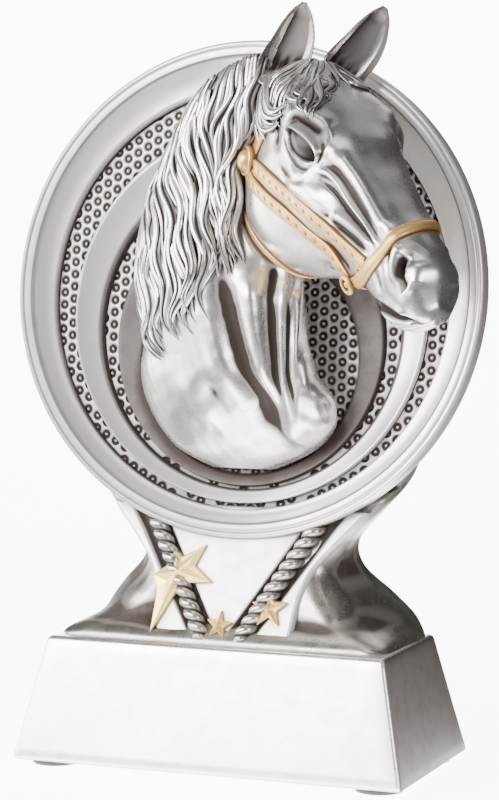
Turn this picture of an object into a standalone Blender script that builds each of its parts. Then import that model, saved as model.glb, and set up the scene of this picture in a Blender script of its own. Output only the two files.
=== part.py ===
"""A cast resin horse trophy, standing on four small pads.

One casting carries everything: a sloping base, a flared waist with a shield-like panel,
a rope V and three stars, and a round stepped dish that leans back a little. A horse's
head and neck rise out of the dish. Lengths are millimetres at the top of the file and
become metres where a mesh is made. X runs to the horse's muzzle, Y to the back, Z up.
"""

import math

import bmesh
import bpy
import numpy as np
from mathutils import Vector

MM = 0.001

# Base
BASE_WIDTH = 82.2
BASE_DEPTH = 42.1
BASE_HEIGHT = 24.5
BASE_DRAFT = 5.5
BASE_EDGE = 0.8

# Pads under the base
PAD_DIAMETER = 9.4
PAD_HEIGHT = 1.0
PAD_INSET = 2.0
PAD_GAP = 0.3
BASE_FLOOR = PAD_HEIGHT + PAD_GAP
BASE_TOP = BASE_FLOOR + BASE_HEIGHT

# Dish: a lip, then three eccentric steps that drop towards the lower rim
DISH_RADIUS = 49.7
DISH_THICKNESS = 10.2
DISH_WALL = 4.0
DISH_LEAN = math.radians(6.9)
DISH_RISE = 69.4
DISH_SETBACK = 1.2
DISH_SIDES = 48
LIP_SHARE = 0.930
STEP_SHARE = (0.853, 0.755, 0.650, 0.572, 0.470)
STEP_DROP = (0.033, 0.100, 0.156, 0.214, 0.278)
LIP_FALL = 2.2
FIRST_FLOOR = 3.6
RING_FALL = 3.8
SECOND_FLOOR = 5.0
INNER_LEDGE = 4.6
LAST_FLOOR = 5.8

# Waist and the panel on its front
WAIST_NECK = 17.2
WAIST_BACK_SPREAD = 6.4
WAIST_CORNER = 4.0
PANEL_FOOT = 14.6
PANEL_PROUD = 1.1
PANEL_LEAN = 0.39
PANEL_TOP_SETBACK = 2.0
PANEL_TOP_RISE = 24.2
PANEL_HEIGHT = 30.6
PANEL_SUNK = 6.0
PANEL_CORNER = 1.2

# Rope and stars
ROPE_RADIUS = 1.8
ROPE_BEADS = 10
ROPE_PINCH = 0.72
ROPE_SLANT = 0.7
ROPE_TOP_SPREAD = 19.6
ROPE_TOP_RISE = 25.5
ROPE_FOOT_SPREAD = 3.5
ROPE_FOOT_RISE = 0.8
ROPE_PROUD = 0.2
STAR_PROUD = 1.0
STAR_PEAK = 1.7
STAR_SUNK = 1.5
STAR_WAIST = 0.42

# Horse
HEAD_LENGTH = 66.5
HEAD_WIDTH_SHARE = 0.96
HEAD_DEPTH_SHARE = 1.03
POLL = (17.4, -6.0, 138.8)
NOSE_WAY = (0.622, -0.590, -0.515)
LEFT_WAY = (0.676, 0.736, -0.028)

HEAD_STATIONS = 26
HEAD_SIDES = 24
NECK_STATIONS = 20
NECK_SIDES = 26

RESIN_GREY = (0.46, 0.45, 0.44)
RUBBER_BLACK = (0.02, 0.02, 0.02)


def clear_scene():
    for old in list(bpy.data.objects):
        bpy.data.objects.remove(old, do_unlink=True)


def material(name, colour, metallic, roughness):
    made = bpy.data.materials.new(name)
    made.use_nodes = True
    shader = made.node_tree.nodes["Principled BSDF"]
    shader.inputs["Base Color"].default_value = (*colour, 1.0)
    shader.inputs["Metallic"].default_value = metallic
    shader.inputs["Roughness"].default_value = roughness
    made.diffuse_color = (*colour, 1.0)
    return made


def unit(v):
    v = np.asarray(v, float)
    return v / np.linalg.norm(v)


def through(knots, x):
    """A smooth curve through (place, value...) knots, read at x, flat past its ends."""
    table = np.asarray(knots, float)
    place, value = table[:, 0], table[:, 1:]
    slope = np.gradient(value, place, axis=0)
    x = np.clip(np.asarray(x, float), place[0], place[-1])
    k = np.clip(np.searchsorted(place, x, side="right") - 1, 0, len(place) - 2)
    gap = (place[k + 1] - place[k])[..., None]
    t = ((x - place[k]) / (place[k + 1] - place[k]))[..., None]
    start = (2 * t**3 - 3 * t**2 + 1) * value[k] + (t**3 - 2 * t**2 + t) * gap * slope[k]
    end = (3 * t**2 - 2 * t**3) * value[k + 1] + (t**3 - t**2) * gap * slope[k + 1]
    return start + end


def loft(name, rings):
    """A closed skin through rings of equally many points, in millimetres."""
    rings = np.asarray(rings, float)
    sides = rings.shape[1]
    shape = bmesh.new()
    rows = [[shape.verts.new(Vector(p) * MM) for p in ring] for ring in rings]
    for lower, upper in zip(rows, rows[1:]):
        for i in range(sides):
            j = (i + 1) % sides
            shape.faces.new((lower[i], lower[j], upper[j], upper[i]))
    for row in (rows[0], rows[-1]):
        shape.faces.new(row)
    bmesh.ops.triangulate(shape, faces=[f for f in shape.faces if len(f.verts) > 4])
    bmesh.ops.recalc_face_normals(shape, faces=shape.faces)
    return mesh_object(name, shape)


def mesh_object(name, shape):
    mesh = bpy.data.meshes.new(name)
    shape.to_mesh(mesh)
    shape.free()
    made = bpy.data.objects.new(name, mesh)
    return made


def dish_frame():
    """Centre of the rim, its sideways and upward directions and the way into the dish."""
    lean = DISH_LEAN
    centre = np.array([0.0, DISH_SETBACK, BASE_TOP + DISH_RISE])
    up = np.array([0.0, math.sin(lean), math.cos(lean)])
    inward = np.array([0.0, math.cos(lean), -math.sin(lean)])
    return centre, np.array([1.0, 0.0, 0.0]), up, inward


def rim_plane_y(z):
    centre, _, up, _ = dish_frame()
    return centre[1] + (z - centre[2]) * math.tan(DISH_LEAN)


def dish_ring(share, drop, depth):
    centre, side, up, inward = dish_frame()
    turn = np.linspace(0, 2 * math.pi, DISH_SIDES, endpoint=False)[:, None]
    middle = centre - up * drop * DISH_RADIUS + inward * depth
    return middle + share * DISH_RADIUS * (np.cos(turn) * side + np.sin(turn) * up)


def dish_rings():
    a, b, c, d, e = STEP_SHARE
    da, db, dc, dd, de = STEP_DROP
    step = 0.004
    return [
        dish_ring(0.74, 0.0, DISH_THICKNESS),
        dish_ring(0.90, 0.0, DISH_THICKNESS - 1.6),
        dish_ring(0.985, 0.0, DISH_WALL + 1.8),
        dish_ring(1.0, 0.0, DISH_WALL),
        dish_ring(1.0, 0.0, 0.5),
        dish_ring(0.988, 0.0, 0.0),
        dish_ring(LIP_SHARE + 0.008, 0.0, 0.3),
        dish_ring(LIP_SHARE, 0.0, 0.9),
        dish_ring(a, da, LIP_FALL),
        dish_ring(a - step, da, FIRST_FLOOR),
        dish_ring(b + step, db, FIRST_FLOOR),
        dish_ring(b, db, LIP_FALL),
        dish_ring(c, dc, RING_FALL),
        dish_ring(c - step, dc, SECOND_FLOOR),
        dish_ring(d + step, dd, SECOND_FLOOR),
        dish_ring(d, dd, RING_FALL),
        dish_ring(e, de, INNER_LEDGE),
        dish_ring(e - step, de, LAST_FLOOR),
    ]


def make_base():
    bpy.ops.mesh.primitive_cube_add(size=1.0)
    base = bpy.context.object
    base.name = "base_block"
    for v in base.data.vertices:
        top = v.co.z > 0
        inset = BASE_DRAFT if top else 0.0
        v.co.x = math.copysign(BASE_WIDTH / 2 - inset, v.co.x) * MM
        v.co.y = math.copysign(BASE_DEPTH / 2 - inset, v.co.y) * MM
        v.co.z = (BASE_TOP if top else BASE_FLOOR) * MM
    edge = base.modifiers.new("rounded edges", "BEVEL")
    edge.width = BASE_EDGE * MM
    edge.segments = 2
    bpy.context.collection.objects.unlink(base)
    return base


def rounded_box_ring(front, back, y_front, y_back, z, corner, steps=4):
    """A level ring whose front and back half-widths differ, with rounded corners."""
    corners = [(front, y_front), (back, y_back), (-back, y_back), (-front, y_front)]
    points = []
    for k, (x, y) in enumerate(corners):
        here = np.array([x, y])
        before = np.array(corners[k - 1]) - here
        after = np.array(corners[(k + 1) % 4]) - here
        reach = min(corner, np.linalg.norm(before) * 0.45, np.linalg.norm(after) * 0.45)
        start, end = here + unit(before) * reach, here + unit(after) * reach
        for t in np.linspace(0, 1, steps):
            p = (1 - t) ** 2 * start + 2 * t * (1 - t) * here + t**2 * end
            points.append((p[0], p[1], z))
    return points


def panel_y(z):
    """Front of the waist's panel, which slopes forward on its way down."""
    return -PANEL_TOP_SETBACK - (BASE_TOP + PANEL_TOP_RISE - z) * PANEL_LEAN


def waist_knots():
    """Height above the base, half-width at the front and back, and the two depths."""
    top_x, top_y = BASE_WIDTH / 2 - BASE_DRAFT, BASE_DEPTH / 2 - BASE_DRAFT
    neck, spread = WAIST_NECK, WAIST_BACK_SPREAD
    foot = BASE_TOP
    return [
        (-1.0, top_x, top_x, -top_y + 3.0, top_y),
        (0.4, top_x - 1.0, top_x - 0.2, -top_y + 3.2, top_y - 0.2),
        (4.0, neck + 9.0, top_x - 1.2, panel_y(foot + 4.0) + PANEL_PROUD, top_y - 2.0),
        (8.6, neck + 4.2, neck + spread + 7.2, panel_y(foot + 8.6) + PANEL_PROUD, top_y - 4.2),
        (14.5, neck + 1.4, neck + spread + 1.4, panel_y(foot + 14.5) + PANEL_PROUD, top_y - 6.6),
        (20.0, neck + 5.8, neck + spread + 0.6, panel_y(foot + 20.0) + PANEL_PROUD, top_y - 8.0),
        (24.6, neck + 10.2, neck + spread + 4.0, panel_y(foot + 24.6) + PANEL_PROUD, top_y - 8.4),
        (29.0, neck + 13.6, neck + spread + 7.8, panel_y(foot + 29.0) + PANEL_PROUD, top_y - 8.6),
        (33.0, neck + 15.6, neck + spread + 11.0, 0.6, top_y - 9.0),
        (37.0, neck + 16.8, neck + spread + 13.0, 1.6, top_y - 10.0),
    ]


def make_waist():
    knots = waist_knots()
    heights = np.concatenate([[-1.0, 0.4], np.linspace(2.0, 37.0, 14)])
    rings = []
    for rise, (front, back, y_front, y_back) in zip(heights, through(knots, heights)):
        rings.append(rounded_box_ring(front, back, y_front, y_back, BASE_TOP + rise, WAIST_CORNER))
    return loft("waist", rings)


def make_panel():
    """The shield between the rope's arms, wide under the dish and narrow at its foot."""
    knots = [(0.0, PANEL_FOOT), (5.0, PANEL_FOOT + 0.4), (9.5, PANEL_FOOT + 1.1),
             (14.5, WAIST_NECK + 0.4), (20.0, WAIST_NECK + 4.9), (24.6, WAIST_NECK + 9.2),
             (PANEL_HEIGHT, WAIST_NECK + 13.4)]
    heights = np.linspace(0.0, PANEL_HEIGHT, 12)
    rings = []
    for rise, (half,) in zip(heights, through(knots, heights)):
        z = BASE_TOP + rise
        y = panel_y(z)
        rings.append(rounded_box_ring(half, half, y, y + PANEL_SUNK, z, PANEL_CORNER, steps=2))
    return loft("panel", rings)


def on_panel(x, rise, proud):
    """A point on the panel's front, x across and rise above the base."""
    z = BASE_TOP + rise
    return np.array([x, panel_y(z) - proud, z])


def make_rope(side):
    """One arm of the V: a round cord with slanted beads."""
    top = on_panel(side * ROPE_TOP_SPREAD, ROPE_TOP_RISE, ROPE_PROUD)
    foot = on_panel(side * ROPE_FOOT_SPREAD, ROPE_FOOT_RISE, ROPE_PROUD)
    along = unit(foot - top)
    across = unit(np.cross(along, (0, -1, 0.4)))
    out = np.cross(across, along)
    length = np.linalg.norm(foot - top)
    stations = ROPE_BEADS * 2
    rings = []
    for k in range(stations + 1):
        swell = 1.0 if k % 2 else ROPE_PINCH
        at = top + along * length * k / stations
        turn = np.linspace(0, 2 * math.pi, 6, endpoint=False)[:, None]
        ring = at + ROPE_RADIUS * swell * (np.cos(turn) * across + np.sin(turn) * out)
        slant = np.cos(turn) * ROPE_SLANT * along * side
        rings.append(ring + slant)
    return loft("rope_arm", rings)


def make_star(name, corners, centre):
    """A raised star: its corners and centre are places on the panel."""
    middle = on_panel(*centre, STAR_PROUD * STAR_PEAK)
    outline = [on_panel(x, z, STAR_PROUD) for x, z in corners]
    sunk = [on_panel(x, z, -STAR_SUNK) for x, z in corners]
    shape = bmesh.new()
    top = [shape.verts.new(Vector(p) * MM) for p in outline]
    low = [shape.verts.new(Vector(p) * MM) for p in sunk]
    peak = shape.verts.new(Vector(middle) * MM)
    for i in range(len(top)):
        j = (i + 1) % len(top)
        shape.faces.new((top[i], top[j], peak))
        shape.faces.new((low[i], low[j], top[j], top[i]))
    shape.faces.new(low)
    bmesh.ops.triangulate(shape, faces=[f for f in shape.faces if len(f.verts) > 4])
    bmesh.ops.recalc_face_normals(shape, faces=shape.faces)
    return mesh_object(name, shape)


def star_corners(centre, radius, tilt):
    """Ten corners of a five-pointed star on the panel."""
    corners = []
    for k in range(10):
        reach = radius if k % 2 == 0 else radius * STAR_WAIST
        turn = tilt + math.pi * k / 5
        corners.append((centre[0] + reach * math.sin(turn), centre[1] + reach * math.cos(turn)))
    return corners


# Places on the panel: across, and above the base. A small star has a centre, a radius and a tilt.
SHOOTING_STAR = ((-12.3, 17.4), (-10.4, 16.0), (-5.5, 18.5), (-7.3, 14.5), (-3.2, 11.5), (-9.8, 10.9),
                 (-15.1, 0.9), (-14.7, 9.6), (-16.2, 12.2), (-13.4, 14.2))
SHOOTING_STAR_CENTRE = (-10.4, 13.4)
SMALL_STARS = (((-0.5, 3.5), 2.8, math.radians(4)), ((9.6, 7.2), 3.9, math.radians(-2)))


def make_stars():
    stars = [make_star("shooting_star", SHOOTING_STAR, SHOOTING_STAR_CENTRE)]
    for centre, radius, tilt in SMALL_STARS:
        stars.append(make_star("small_star", star_corners(centre, radius, tilt), centre))
    return stars


# Lines that run along the head, from poll (0) to muzzle (1) on one side, as shares of its
# length: place, height above the poll's line and half-width.
HEAD_LINES = (
    ((-0.06, -0.045, 0.0), (0.0, 0.014, 0.0), (0.10, 0.026, 0.0), (0.25, 0.024, 0.0), (0.40, 0.002, 0.0),
     (0.55, -0.020, 0.0), (0.70, -0.038, 0.0), (0.82, -0.048, 0.0), (0.90, -0.062, 0.0), (0.96, -0.092, 0.0),
     (1.0, -0.150, 0.0)),
    ((-0.06, -0.085, 0.075), (0.0, -0.035, 0.100), (0.15, 0.000, 0.128), (0.30, -0.006, 0.138),
     (0.42, -0.024, 0.104), (0.55, -0.042, 0.086), (0.70, -0.062, 0.076), (0.82, -0.068, 0.066),
     (0.90, -0.080, 0.058), (0.96, -0.112, 0.046), (1.0, -0.160, 0.025)),
    ((-0.06, -0.140, 0.090), (0.0, -0.095, 0.125), (0.15, -0.055, 0.158), (0.30, -0.048, 0.176),
     (0.42, -0.085, 0.134), (0.55, -0.108, 0.108), (0.70, -0.110, 0.090), (0.82, -0.108, 0.086),
     (0.90, -0.114, 0.096), (0.96, -0.140, 0.080), (1.0, -0.175, 0.045)),
    ((-0.06, -0.230, 0.095), (0.0, -0.210, 0.128), (0.15, -0.180, 0.158), (0.30, -0.180, 0.162),
     (0.42, -0.188, 0.154), (0.55, -0.185, 0.130), (0.70, -0.168, 0.102), (0.82, -0.158, 0.090),
     (0.90, -0.162, 0.095), (0.96, -0.175, 0.083), (1.0, -0.190, 0.050)),
    ((-0.06, -0.330, 0.080), (0.0, -0.320, 0.124), (0.15, -0.330, 0.148), (0.30, -0.340, 0.142),
     (0.42, -0.315, 0.118), (0.55, -0.268, 0.092), (0.70, -0.236, 0.082), (0.82, -0.218, 0.080),
     (0.90, -0.208, 0.084), (0.96, -0.205, 0.072), (1.0, -0.205, 0.045)),
    ((-0.06, -0.385, 0.050), (0.0, -0.405, 0.080), (0.15, -0.452, 0.098), (0.30, -0.466, 0.088),
     (0.42, -0.426, 0.070), (0.55, -0.352, 0.054), (0.70, -0.296, 0.050), (0.82, -0.285, 0.054),
     (0.90, -0.284, 0.055), (0.96, -0.250, 0.045), (1.0, -0.217, 0.028)),
    ((-0.06, -0.395, 0.0), (0.0, -0.425, 0.0), (0.15, -0.474, 0.0), (0.30, -0.486, 0.0), (0.42, -0.442, 0.0),
     (0.55, -0.366, 0.0), (0.70, -0.308, 0.0), (0.82, -0.300, 0.0), (0.90, -0.302, 0.0), (0.96, -0.268, 0.0),
     (1.0, -0.225, 0.0)),
)


def head_frame():
    nose = unit(NOSE_WAY)
    left = np.asarray(LEFT_WAY) - nose * np.dot(nose, LEFT_WAY)
    left = unit(left)
    return np.asarray(POLL), nose, left, np.cross(nose, left)


def head_to_world(local):
    poll, nose, left, crown = head_frame()
    local = np.asarray(local, float) * HEAD_LENGTH
    return (poll + local[..., 0:1] * nose + local[..., 1:2] * HEAD_WIDTH_SHARE * left
            + local[..., 2:3] * HEAD_DEPTH_SHARE * crown)


def head_form(x, line):
    """Places on the plain head, in shares of its length.

    x runs from poll to muzzle. line runs round the head: 0 is the ridge, 1 to 5 the lines
    down the near side, 6 the keel and 7 to 11 the same lines up the far side.
    """
    x, line = np.broadcast_arrays(np.asarray(x, float), np.asarray(line, float))
    rows = [through(knots, x) for knots in HEAD_LINES]
    near = [np.stack([-row[..., 1], row[..., 0]], -1) for row in rows]
    far = [np.stack([row[..., 1], row[..., 0]], -1) for row in rows[5:0:-1]]
    cage = np.stack(near + far, -2)
    count = cage.shape[-2]
    k = np.floor(line).astype(int)
    t = (line - k)[..., None]

    def corner(step):
        return np.take_along_axis(cage, ((k + step) % count)[..., None, None], axis=-2)[..., 0, :]

    p0, p1, p2, p3 = corner(-1), corner(0), corner(1), corner(2)
    curve = 0.5 * (2 * p1 + (p2 - p0) * t + (2 * p0 - 5 * p1 + 4 * p2 - p3) * t**2
                   + (3 * p1 - p0 - 3 * p2 + p3) * t**3)
    return np.concatenate([x[..., None], curve], -1)


def head_skin(x, line):
    """Places on the carved head and the unit vectors that point out of it."""
    step = 0.004
    along = head_form(np.minimum(x + step, 1.0), line) - head_form(np.maximum(x - step, -0.06), line)
    around = head_form(x, line + step * 5) - head_form(x, line - step * 5)
    out = np.cross(around, along)
    out = out / np.maximum(np.linalg.norm(out, axis=-1, keepdims=True), 1e-9)
    place = head_form(x, line)
    return place + head_relief(place)[..., None] * out, out


def bump(points, centre, reach, height):
    """How far a soft bump pushes each point out, on both sides of the head."""
    mirrored = points * np.array([1.0, 0.0, 1.0]) + np.abs(points) * np.array([0.0, 1.0, 0.0])
    away = ((mirrored - np.array(centre)) / np.array(reach)) ** 2
    return height * np.exp(-away.sum(-1))


def groove(points, start, end, width, depth):
    """A straight soft groove between two places on the head's side."""
    a, b = np.array(start), np.array(end)
    flat = points[..., [0, 2]]
    along = b - a
    t = np.clip(((flat - a) @ along) / (along @ along), 0, 1)
    gap = np.linalg.norm(flat - (a + t[..., None] * along), axis=-1)
    return -depth * np.exp(-((gap / width) ** 2))


def head_relief(points):
    push = bump(points, (0.320, 0.17, -0.046), (0.055, 0.08, 0.022), 0.012)
    push += bump(points, (0.355, 0.15, -0.088), (0.046, 0.08, 0.032), -0.020)
    push += bump(points, (0.355, 0.15, -0.086), (0.026, 0.08, 0.021), 0.024)
    push += bump(points, (0.905, 0.09, -0.118), (0.026, 0.05, 0.020), -0.030)
    push += bump(points, (0.875, 0.09, -0.095), (0.040, 0.05, 0.020), 0.010)
    push += bump(points, (0.560, 0.11, -0.185), (0.130, 0.08, 0.020), 0.008)
    push += bump(points, (0.560, 0.10, -0.255), (0.100, 0.08, 0.030), -0.012)
    push += bump(points, (0.170, 0.15, -0.100), (0.060, 0.08, 0.030), -0.012)
    push += groove(points, (0.80, -0.245), (1.0, -0.208), 0.012, 0.016)
    return push


def outward(grid):
    """Unit normals of a grid of points that closes on itself across its second index."""
    along = np.gradient(grid, axis=0)
    around = np.roll(grid, -1, 1) - np.roll(grid, 1, 1)
    normal = np.cross(around, along)
    size = np.linalg.norm(normal, axis=-1, keepdims=True)
    return normal / np.maximum(size, 1e-9)


def head_grid(stations, sides):
    spread = np.linspace(0, 1, stations)[:, None]
    x = 1.0 - 1.06 * (1.0 - spread) ** 1.25
    line = np.linspace(0, 12, sides, endpoint=False)[None, :]
    return head_skin(x, line)[0]


def make_head():
    grid = head_grid(HEAD_STATIONS, HEAD_SIDES)
    nose_end = grid[-1]
    middle = nose_end.mean(0)
    tip = middle + (nose_end - middle) * 0.5 + np.array([0.010, 0, 0])
    back = grid[0] * np.array([1.0, 0.7, 1.0]) + np.array([-0.03, 0, -0.01])
    return loft("head", head_to_world([back, *grid, tip]))


# Routes of the halter on the head: place along it and line round it, near side.
HALTER = (
    ("cheek_strap", 2.3, ((0.035, 2.3), (0.065, 2.75), (0.063, 3.2), (0.059, 3.8))),
    ("upper_strap", 2.1, ((0.060, 3.75), (0.144, 3.58), (0.300, 3.46), (0.481, 3.35), (0.640, 3.35),
                          (0.745, 3.35))),
    ("lower_strap", 2.1, ((0.062, 3.90), (0.200, 3.98), (0.401, 4.05), (0.520, 4.35), (0.618, 4.75),
                          (0.650, 5.1))),
    ("throat_strap", 1.8, ((0.050, 3.9), (0.035, 4.3), (0.070, 4.62), (0.200, 4.95), (0.330, 5.15),
                           (0.440, 5.15), (0.560, 5.2), (0.640, 5.2))),
    ("nose_strap", 1.9, ((0.652, 5.0), (0.694, 4.4), (0.719, 3.9), (0.740, 3.2), (0.766, 1.9), (0.782, 0.8),
                         (0.786, 0.0))),
)
NEAR_SIDE_ONLY = ("upper_strap", "throat_strap")
HALTER_PROUD = 0.65
HALTER_SUNK = 2.2
BOSS_SUNK = 1.2
BUTTON_RADIUS = 2.0
BUTTON_PROUD = 1.4
BUTTON_PLACE = (0.059, 3.78)
RING_RADIUS = 1.7
RING_PROUD = 1.1
RING_PLACE = (0.645, 5.05)


def make_strap(name, width, route, side):
    """A flat strap that follows the head; side is -1 on the near side and 1 on the far one."""
    knots = np.array([(k, *place) for k, place in enumerate(route)])
    steps = np.linspace(0, len(route) - 1, 2 * len(route) - 1)
    x, line = through(knots, steps).T
    if side > 0:
        line = 12 - line
    place, out = head_skin(x, line)
    along = np.gradient(place, axis=0)
    across = np.cross(out, along)
    across /= np.linalg.norm(across, axis=-1, keepdims=True)
    half = across * width / 2 / HEAD_LENGTH
    top, floor = out * HALTER_PROUD / HEAD_LENGTH, out * HALTER_SUNK / HEAD_LENGTH
    rings = np.stack([place - half + top, place + half + top, place + half - floor, place - half - floor], 1)
    return loft(name, head_to_world(rings))


def make_button(spot, radius, proud):
    """A low round boss on the near side of the halter."""
    place, out = head_skin(np.array([spot[0]]), np.array([spot[1]]))
    at = head_to_world(place)[0]
    way = unit(head_to_world(place + out)[0] - at)
    first = unit(np.cross(way, (0, 0, 1)))
    second = np.cross(way, first)
    turn = np.linspace(0, 2 * math.pi, 14, endpoint=False)[:, None]
    circle = np.cos(turn) * first + np.sin(turn) * second
    rings = [at + circle * radius * r + way * h
             for r, h in ((0.95, -BOSS_SUNK), (1.0, proud * 0.55), (0.8, proud * 0.95), (0.35, proud * 1.2))]
    return loft("button", rings)


def make_halter():
    pieces = []
    for side in (-1, 1):
        for name, width, route in HALTER:
            if side < 0 or name not in NEAR_SIDE_ONLY:
                pieces.append(make_strap(name, width, route, side))
    pieces.append(make_button(BUTTON_PLACE, BUTTON_RADIUS, BUTTON_PROUD))
    pieces.append(make_button(RING_PLACE, RING_RADIUS, RING_PROUD))
    return pieces


# Level sections down the neck: height, the throat's x and y, the crest's x and y, half-width.
NECK_KNOTS = (
    (59.0, 6.0, 1.8, -6.0, 1.8, 2.0),
    (62.0, 13.0, 1.0, -13.0, 1.6, 3.6),
    (66.0, 18.6, 0.0, -17.4, 2.2, 5.8),
    (70.0, 21.2, -1.8, -20.0, 2.6, 7.4),
    (74.0, 21.4, -3.6, -21.6, 3.0, 8.6),
    (79.0, 17.9, -5.2, -21.8, 3.2, 9.8),
    (84.0, 16.8, -6.0, -20.8, 3.2, 10.2),
    (90.0, 16.0, -6.2, -20.2, 2.6, 10.4),
    (98.0, 15.2, -6.8, -20.3, 2.2, 9.6),
    (106.0, 15.4, -6.8, -19.4, 1.6, 8.2),
    (115.0, 17.0, -6.4, -17.6, 0.6, 6.6),
    (123.0, 18.0, -6.0, -14.3, -0.6, 5.6),
    (131.0, 16.5, -6.0, -10.6, -2.0, 5.0),
    (136.0, 13.5, -6.0, -6.0, -2.6, 4.4),
    (140.0, 9.5, -6.0, 1.0, -3.4, 3.4),
)


NECK_SUNK = 1.5


def neck_section(z, sides):
    """Level ovals: the long axis runs from crest to throat, the far side back into the dish."""
    z = np.atleast_1d(z)
    rows = through(NECK_KNOTS, z)
    throat, crest, half = rows[:, 0:2], rows[:, 2:4], rows[:, 4:5]
    middle, reach = (throat + crest) / 2, (throat - crest) / 2
    long_way = reach / np.linalg.norm(reach, axis=1, keepdims=True)
    near_way = np.stack([long_way[:, 1], -long_way[:, 0]], -1)
    turn = neck_turns(sides)[None, :, None]
    cos, sin = np.cos(turn), np.sin(turn)
    near = np.clip(sin, 0, 1) ** 0.85
    far = np.clip(-sin, 0, 1)
    flat = middle[:, None] + cos * reach[:, None] * (1 - 0.35 * far**2)
    flat = flat + near * half[:, None] * near_way[:, None]
    floor = rim_plane_y(z) + LAST_FLOOR + NECK_SUNK
    into = np.stack([np.zeros_like(floor), np.maximum(floor - middle[:, 1], 0)], -1)
    flat = flat + far * into[:, None]
    return np.concatenate([flat, np.broadcast_to(z[:, None, None], flat.shape[:2] + (1,))], -1)


def neck_turns(sides):
    """Angles round a section, close together on the near side and wide apart on the far one."""
    near_sides = sides * 3 // 4
    near = np.linspace(0, math.pi, near_sides, endpoint=False)
    far = np.linspace(math.pi, 2 * math.pi, sides - near_sides, endpoint=False)
    return np.concatenate([near, far])


def neck_front(x, z):
    """Depth of the neck's near surface at places seen from the front."""
    sides = 96
    found = []
    for target, section in zip(x, neck_section(z, sides)):
        near = section[: sides * 3 // 4 + 1][::-1]
        near = near[np.argmin(near[:, 0]) :]
        found.append(np.interp(target, near[:, 0], near[:, 1]))
    return np.array(found)


def make_neck():
    z = np.linspace(NECK_KNOTS[0][0], NECK_KNOTS[-1][0], NECK_STATIONS)
    rings = neck_section(z, NECK_SIDES)
    rings = rings + neck_relief(rings)[..., None] * outward(rings)
    rings[..., 1] = np.minimum(rings[..., 1], rim_plane_y(rings[..., 2]) + LAST_FLOOR + NECK_SUNK)
    return loft("neck", rings)


def neck_relief(points):
    """Grooves between the muscles of the neck, on its near side."""
    proud = rim_plane_y(points[..., 2]) - points[..., 1]
    near = np.clip((proud - 1.0) / 5.0, 0, 1)
    push = groove(points, (1.0, 99.0), (9.4, 68.0), 1.9, 1.5)
    push += groove(points, (11.2, 99.0), (12.6, 69.0), 1.4, 1.1)
    return near * push


# An ear's half-width up its height, and where each ear grows: its root on the head, its axis
# and its facing as shares of the nose, left and crown directions, and its height.
EAR_LEAF = ((0.0, 0.50), (0.3, 0.94), (0.5, 1.0), (0.75, 0.78), (0.93, 0.38), (1.0, 0.14))
EAR_WIDTH = 9.8
EAR_DEPTH = 7.0
EAR_THINNING = 0.75
EAR_HOLLOW = 1.22
EARS = (
    ("near_ear", (0.0, -0.110, -0.07), (-2.6, 2.4, 12.0), (1.0, -0.9, 0.0), 17.2),
    ("far_ear", (0.0, 0.085, -0.06), (-2.4, 5.6, 11.0), (1.0, -0.4, 0.0), 18.2),
)


def make_ears():
    directions = np.array(head_frame()[1:])
    return [make_ear(name, head_to_world(root), axis @ directions, facing @ directions, height)
            for name, root, axis, facing, height in EARS]


def make_ear(name, root, axis, facing, height):
    """A leaf-shaped ear, hollow in front, rounded behind."""
    width, depth = EAR_WIDTH, EAR_DEPTH
    axis = unit(axis)
    facing = unit(facing - axis * np.dot(axis, facing))
    across = np.cross(axis, facing)
    rings = []
    turn = np.linspace(0, 2 * math.pi, 12, endpoint=False)[:, None]
    for t in np.linspace(0, 1, 8):
        half = width / 2 * through(EAR_LEAF, t)[0]
        thick = depth / 2 * (1.0 - EAR_THINNING * t)
        hollow = min(1.0, t * 4) * EAR_HOLLOW
        bulge = np.where(np.sin(turn) < 0, np.sin(turn), np.sin(turn) * (1 - hollow))
        at = np.asarray(root) + axis * height * t
        rings.append(at + half * np.cos(turn) * across + thick * bulge * facing)
    return loft(name, rings)


LOCK_TAPER = ((0.0, 0.85), (0.3, 1.0), (0.7, 0.85), (0.9, 0.52), (1.0, 0.22))


def make_lock(name, path, radius):
    """A tapered lock of hair along a path of points."""
    curve = bpy.data.curves.new(name, "CURVE")
    curve.dimensions = "3D"
    curve.bevel_depth = radius * MM
    curve.bevel_resolution = 1
    curve.use_fill_caps = True
    spline = curve.splines.new("POLY")
    spline.points.add(len(path) - 1)
    for k, (point, place) in enumerate(zip(spline.points, path)):
        t = k / (len(path) - 1)
        point.co = (*(Vector(place) * MM), 1.0)
        point.radius = through(LOCK_TAPER, t)[0]
    guide = bpy.data.objects.new(name, curve)
    bpy.context.collection.objects.link(guide)
    bpy.context.view_layer.update()
    evaluated = guide.evaluated_get(bpy.context.evaluated_depsgraph_get())
    mesh = bpy.data.meshes.new_from_object(evaluated)
    shape = bmesh.new()
    shape.from_mesh(mesh)
    bmesh.ops.remove_doubles(shape, verts=shape.verts, dist=0.00001)
    bmesh.ops.recalc_face_normals(shape, faces=shape.faces)
    made = mesh_object(name, shape)
    made.matrix_world = guide.matrix_world
    bpy.data.objects.remove(guide, do_unlink=True)
    return made


# Where the mane's locks start on the crest and end, seen from the front: share, x and height.
MANE_ROOTS = ((0.0, 7.8, 140.5), (0.2, 1.8, 139.5), (0.4, -5.5, 136.0), (0.6, -11.0, 130.0),
              (0.8, -15.5, 120.0), (1.0, -19.0, 108.0))
MANE_TIPS = ((0.0, 2.8, 100.5), (0.2, 0.0, 95.5), (0.4, -4.2, 85.0), (0.6, -8.5, 84.5),
             (0.8, -14.0, 83.5), (1.0, -20.0, 84.0))
MANE_LOCKS = 13
MANE_LOCK_RADIUS = 2.6
MANE_SUNK = 0.5
MANE_SWEEP = 3.6
MANE_WAVE = 0.9


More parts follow.
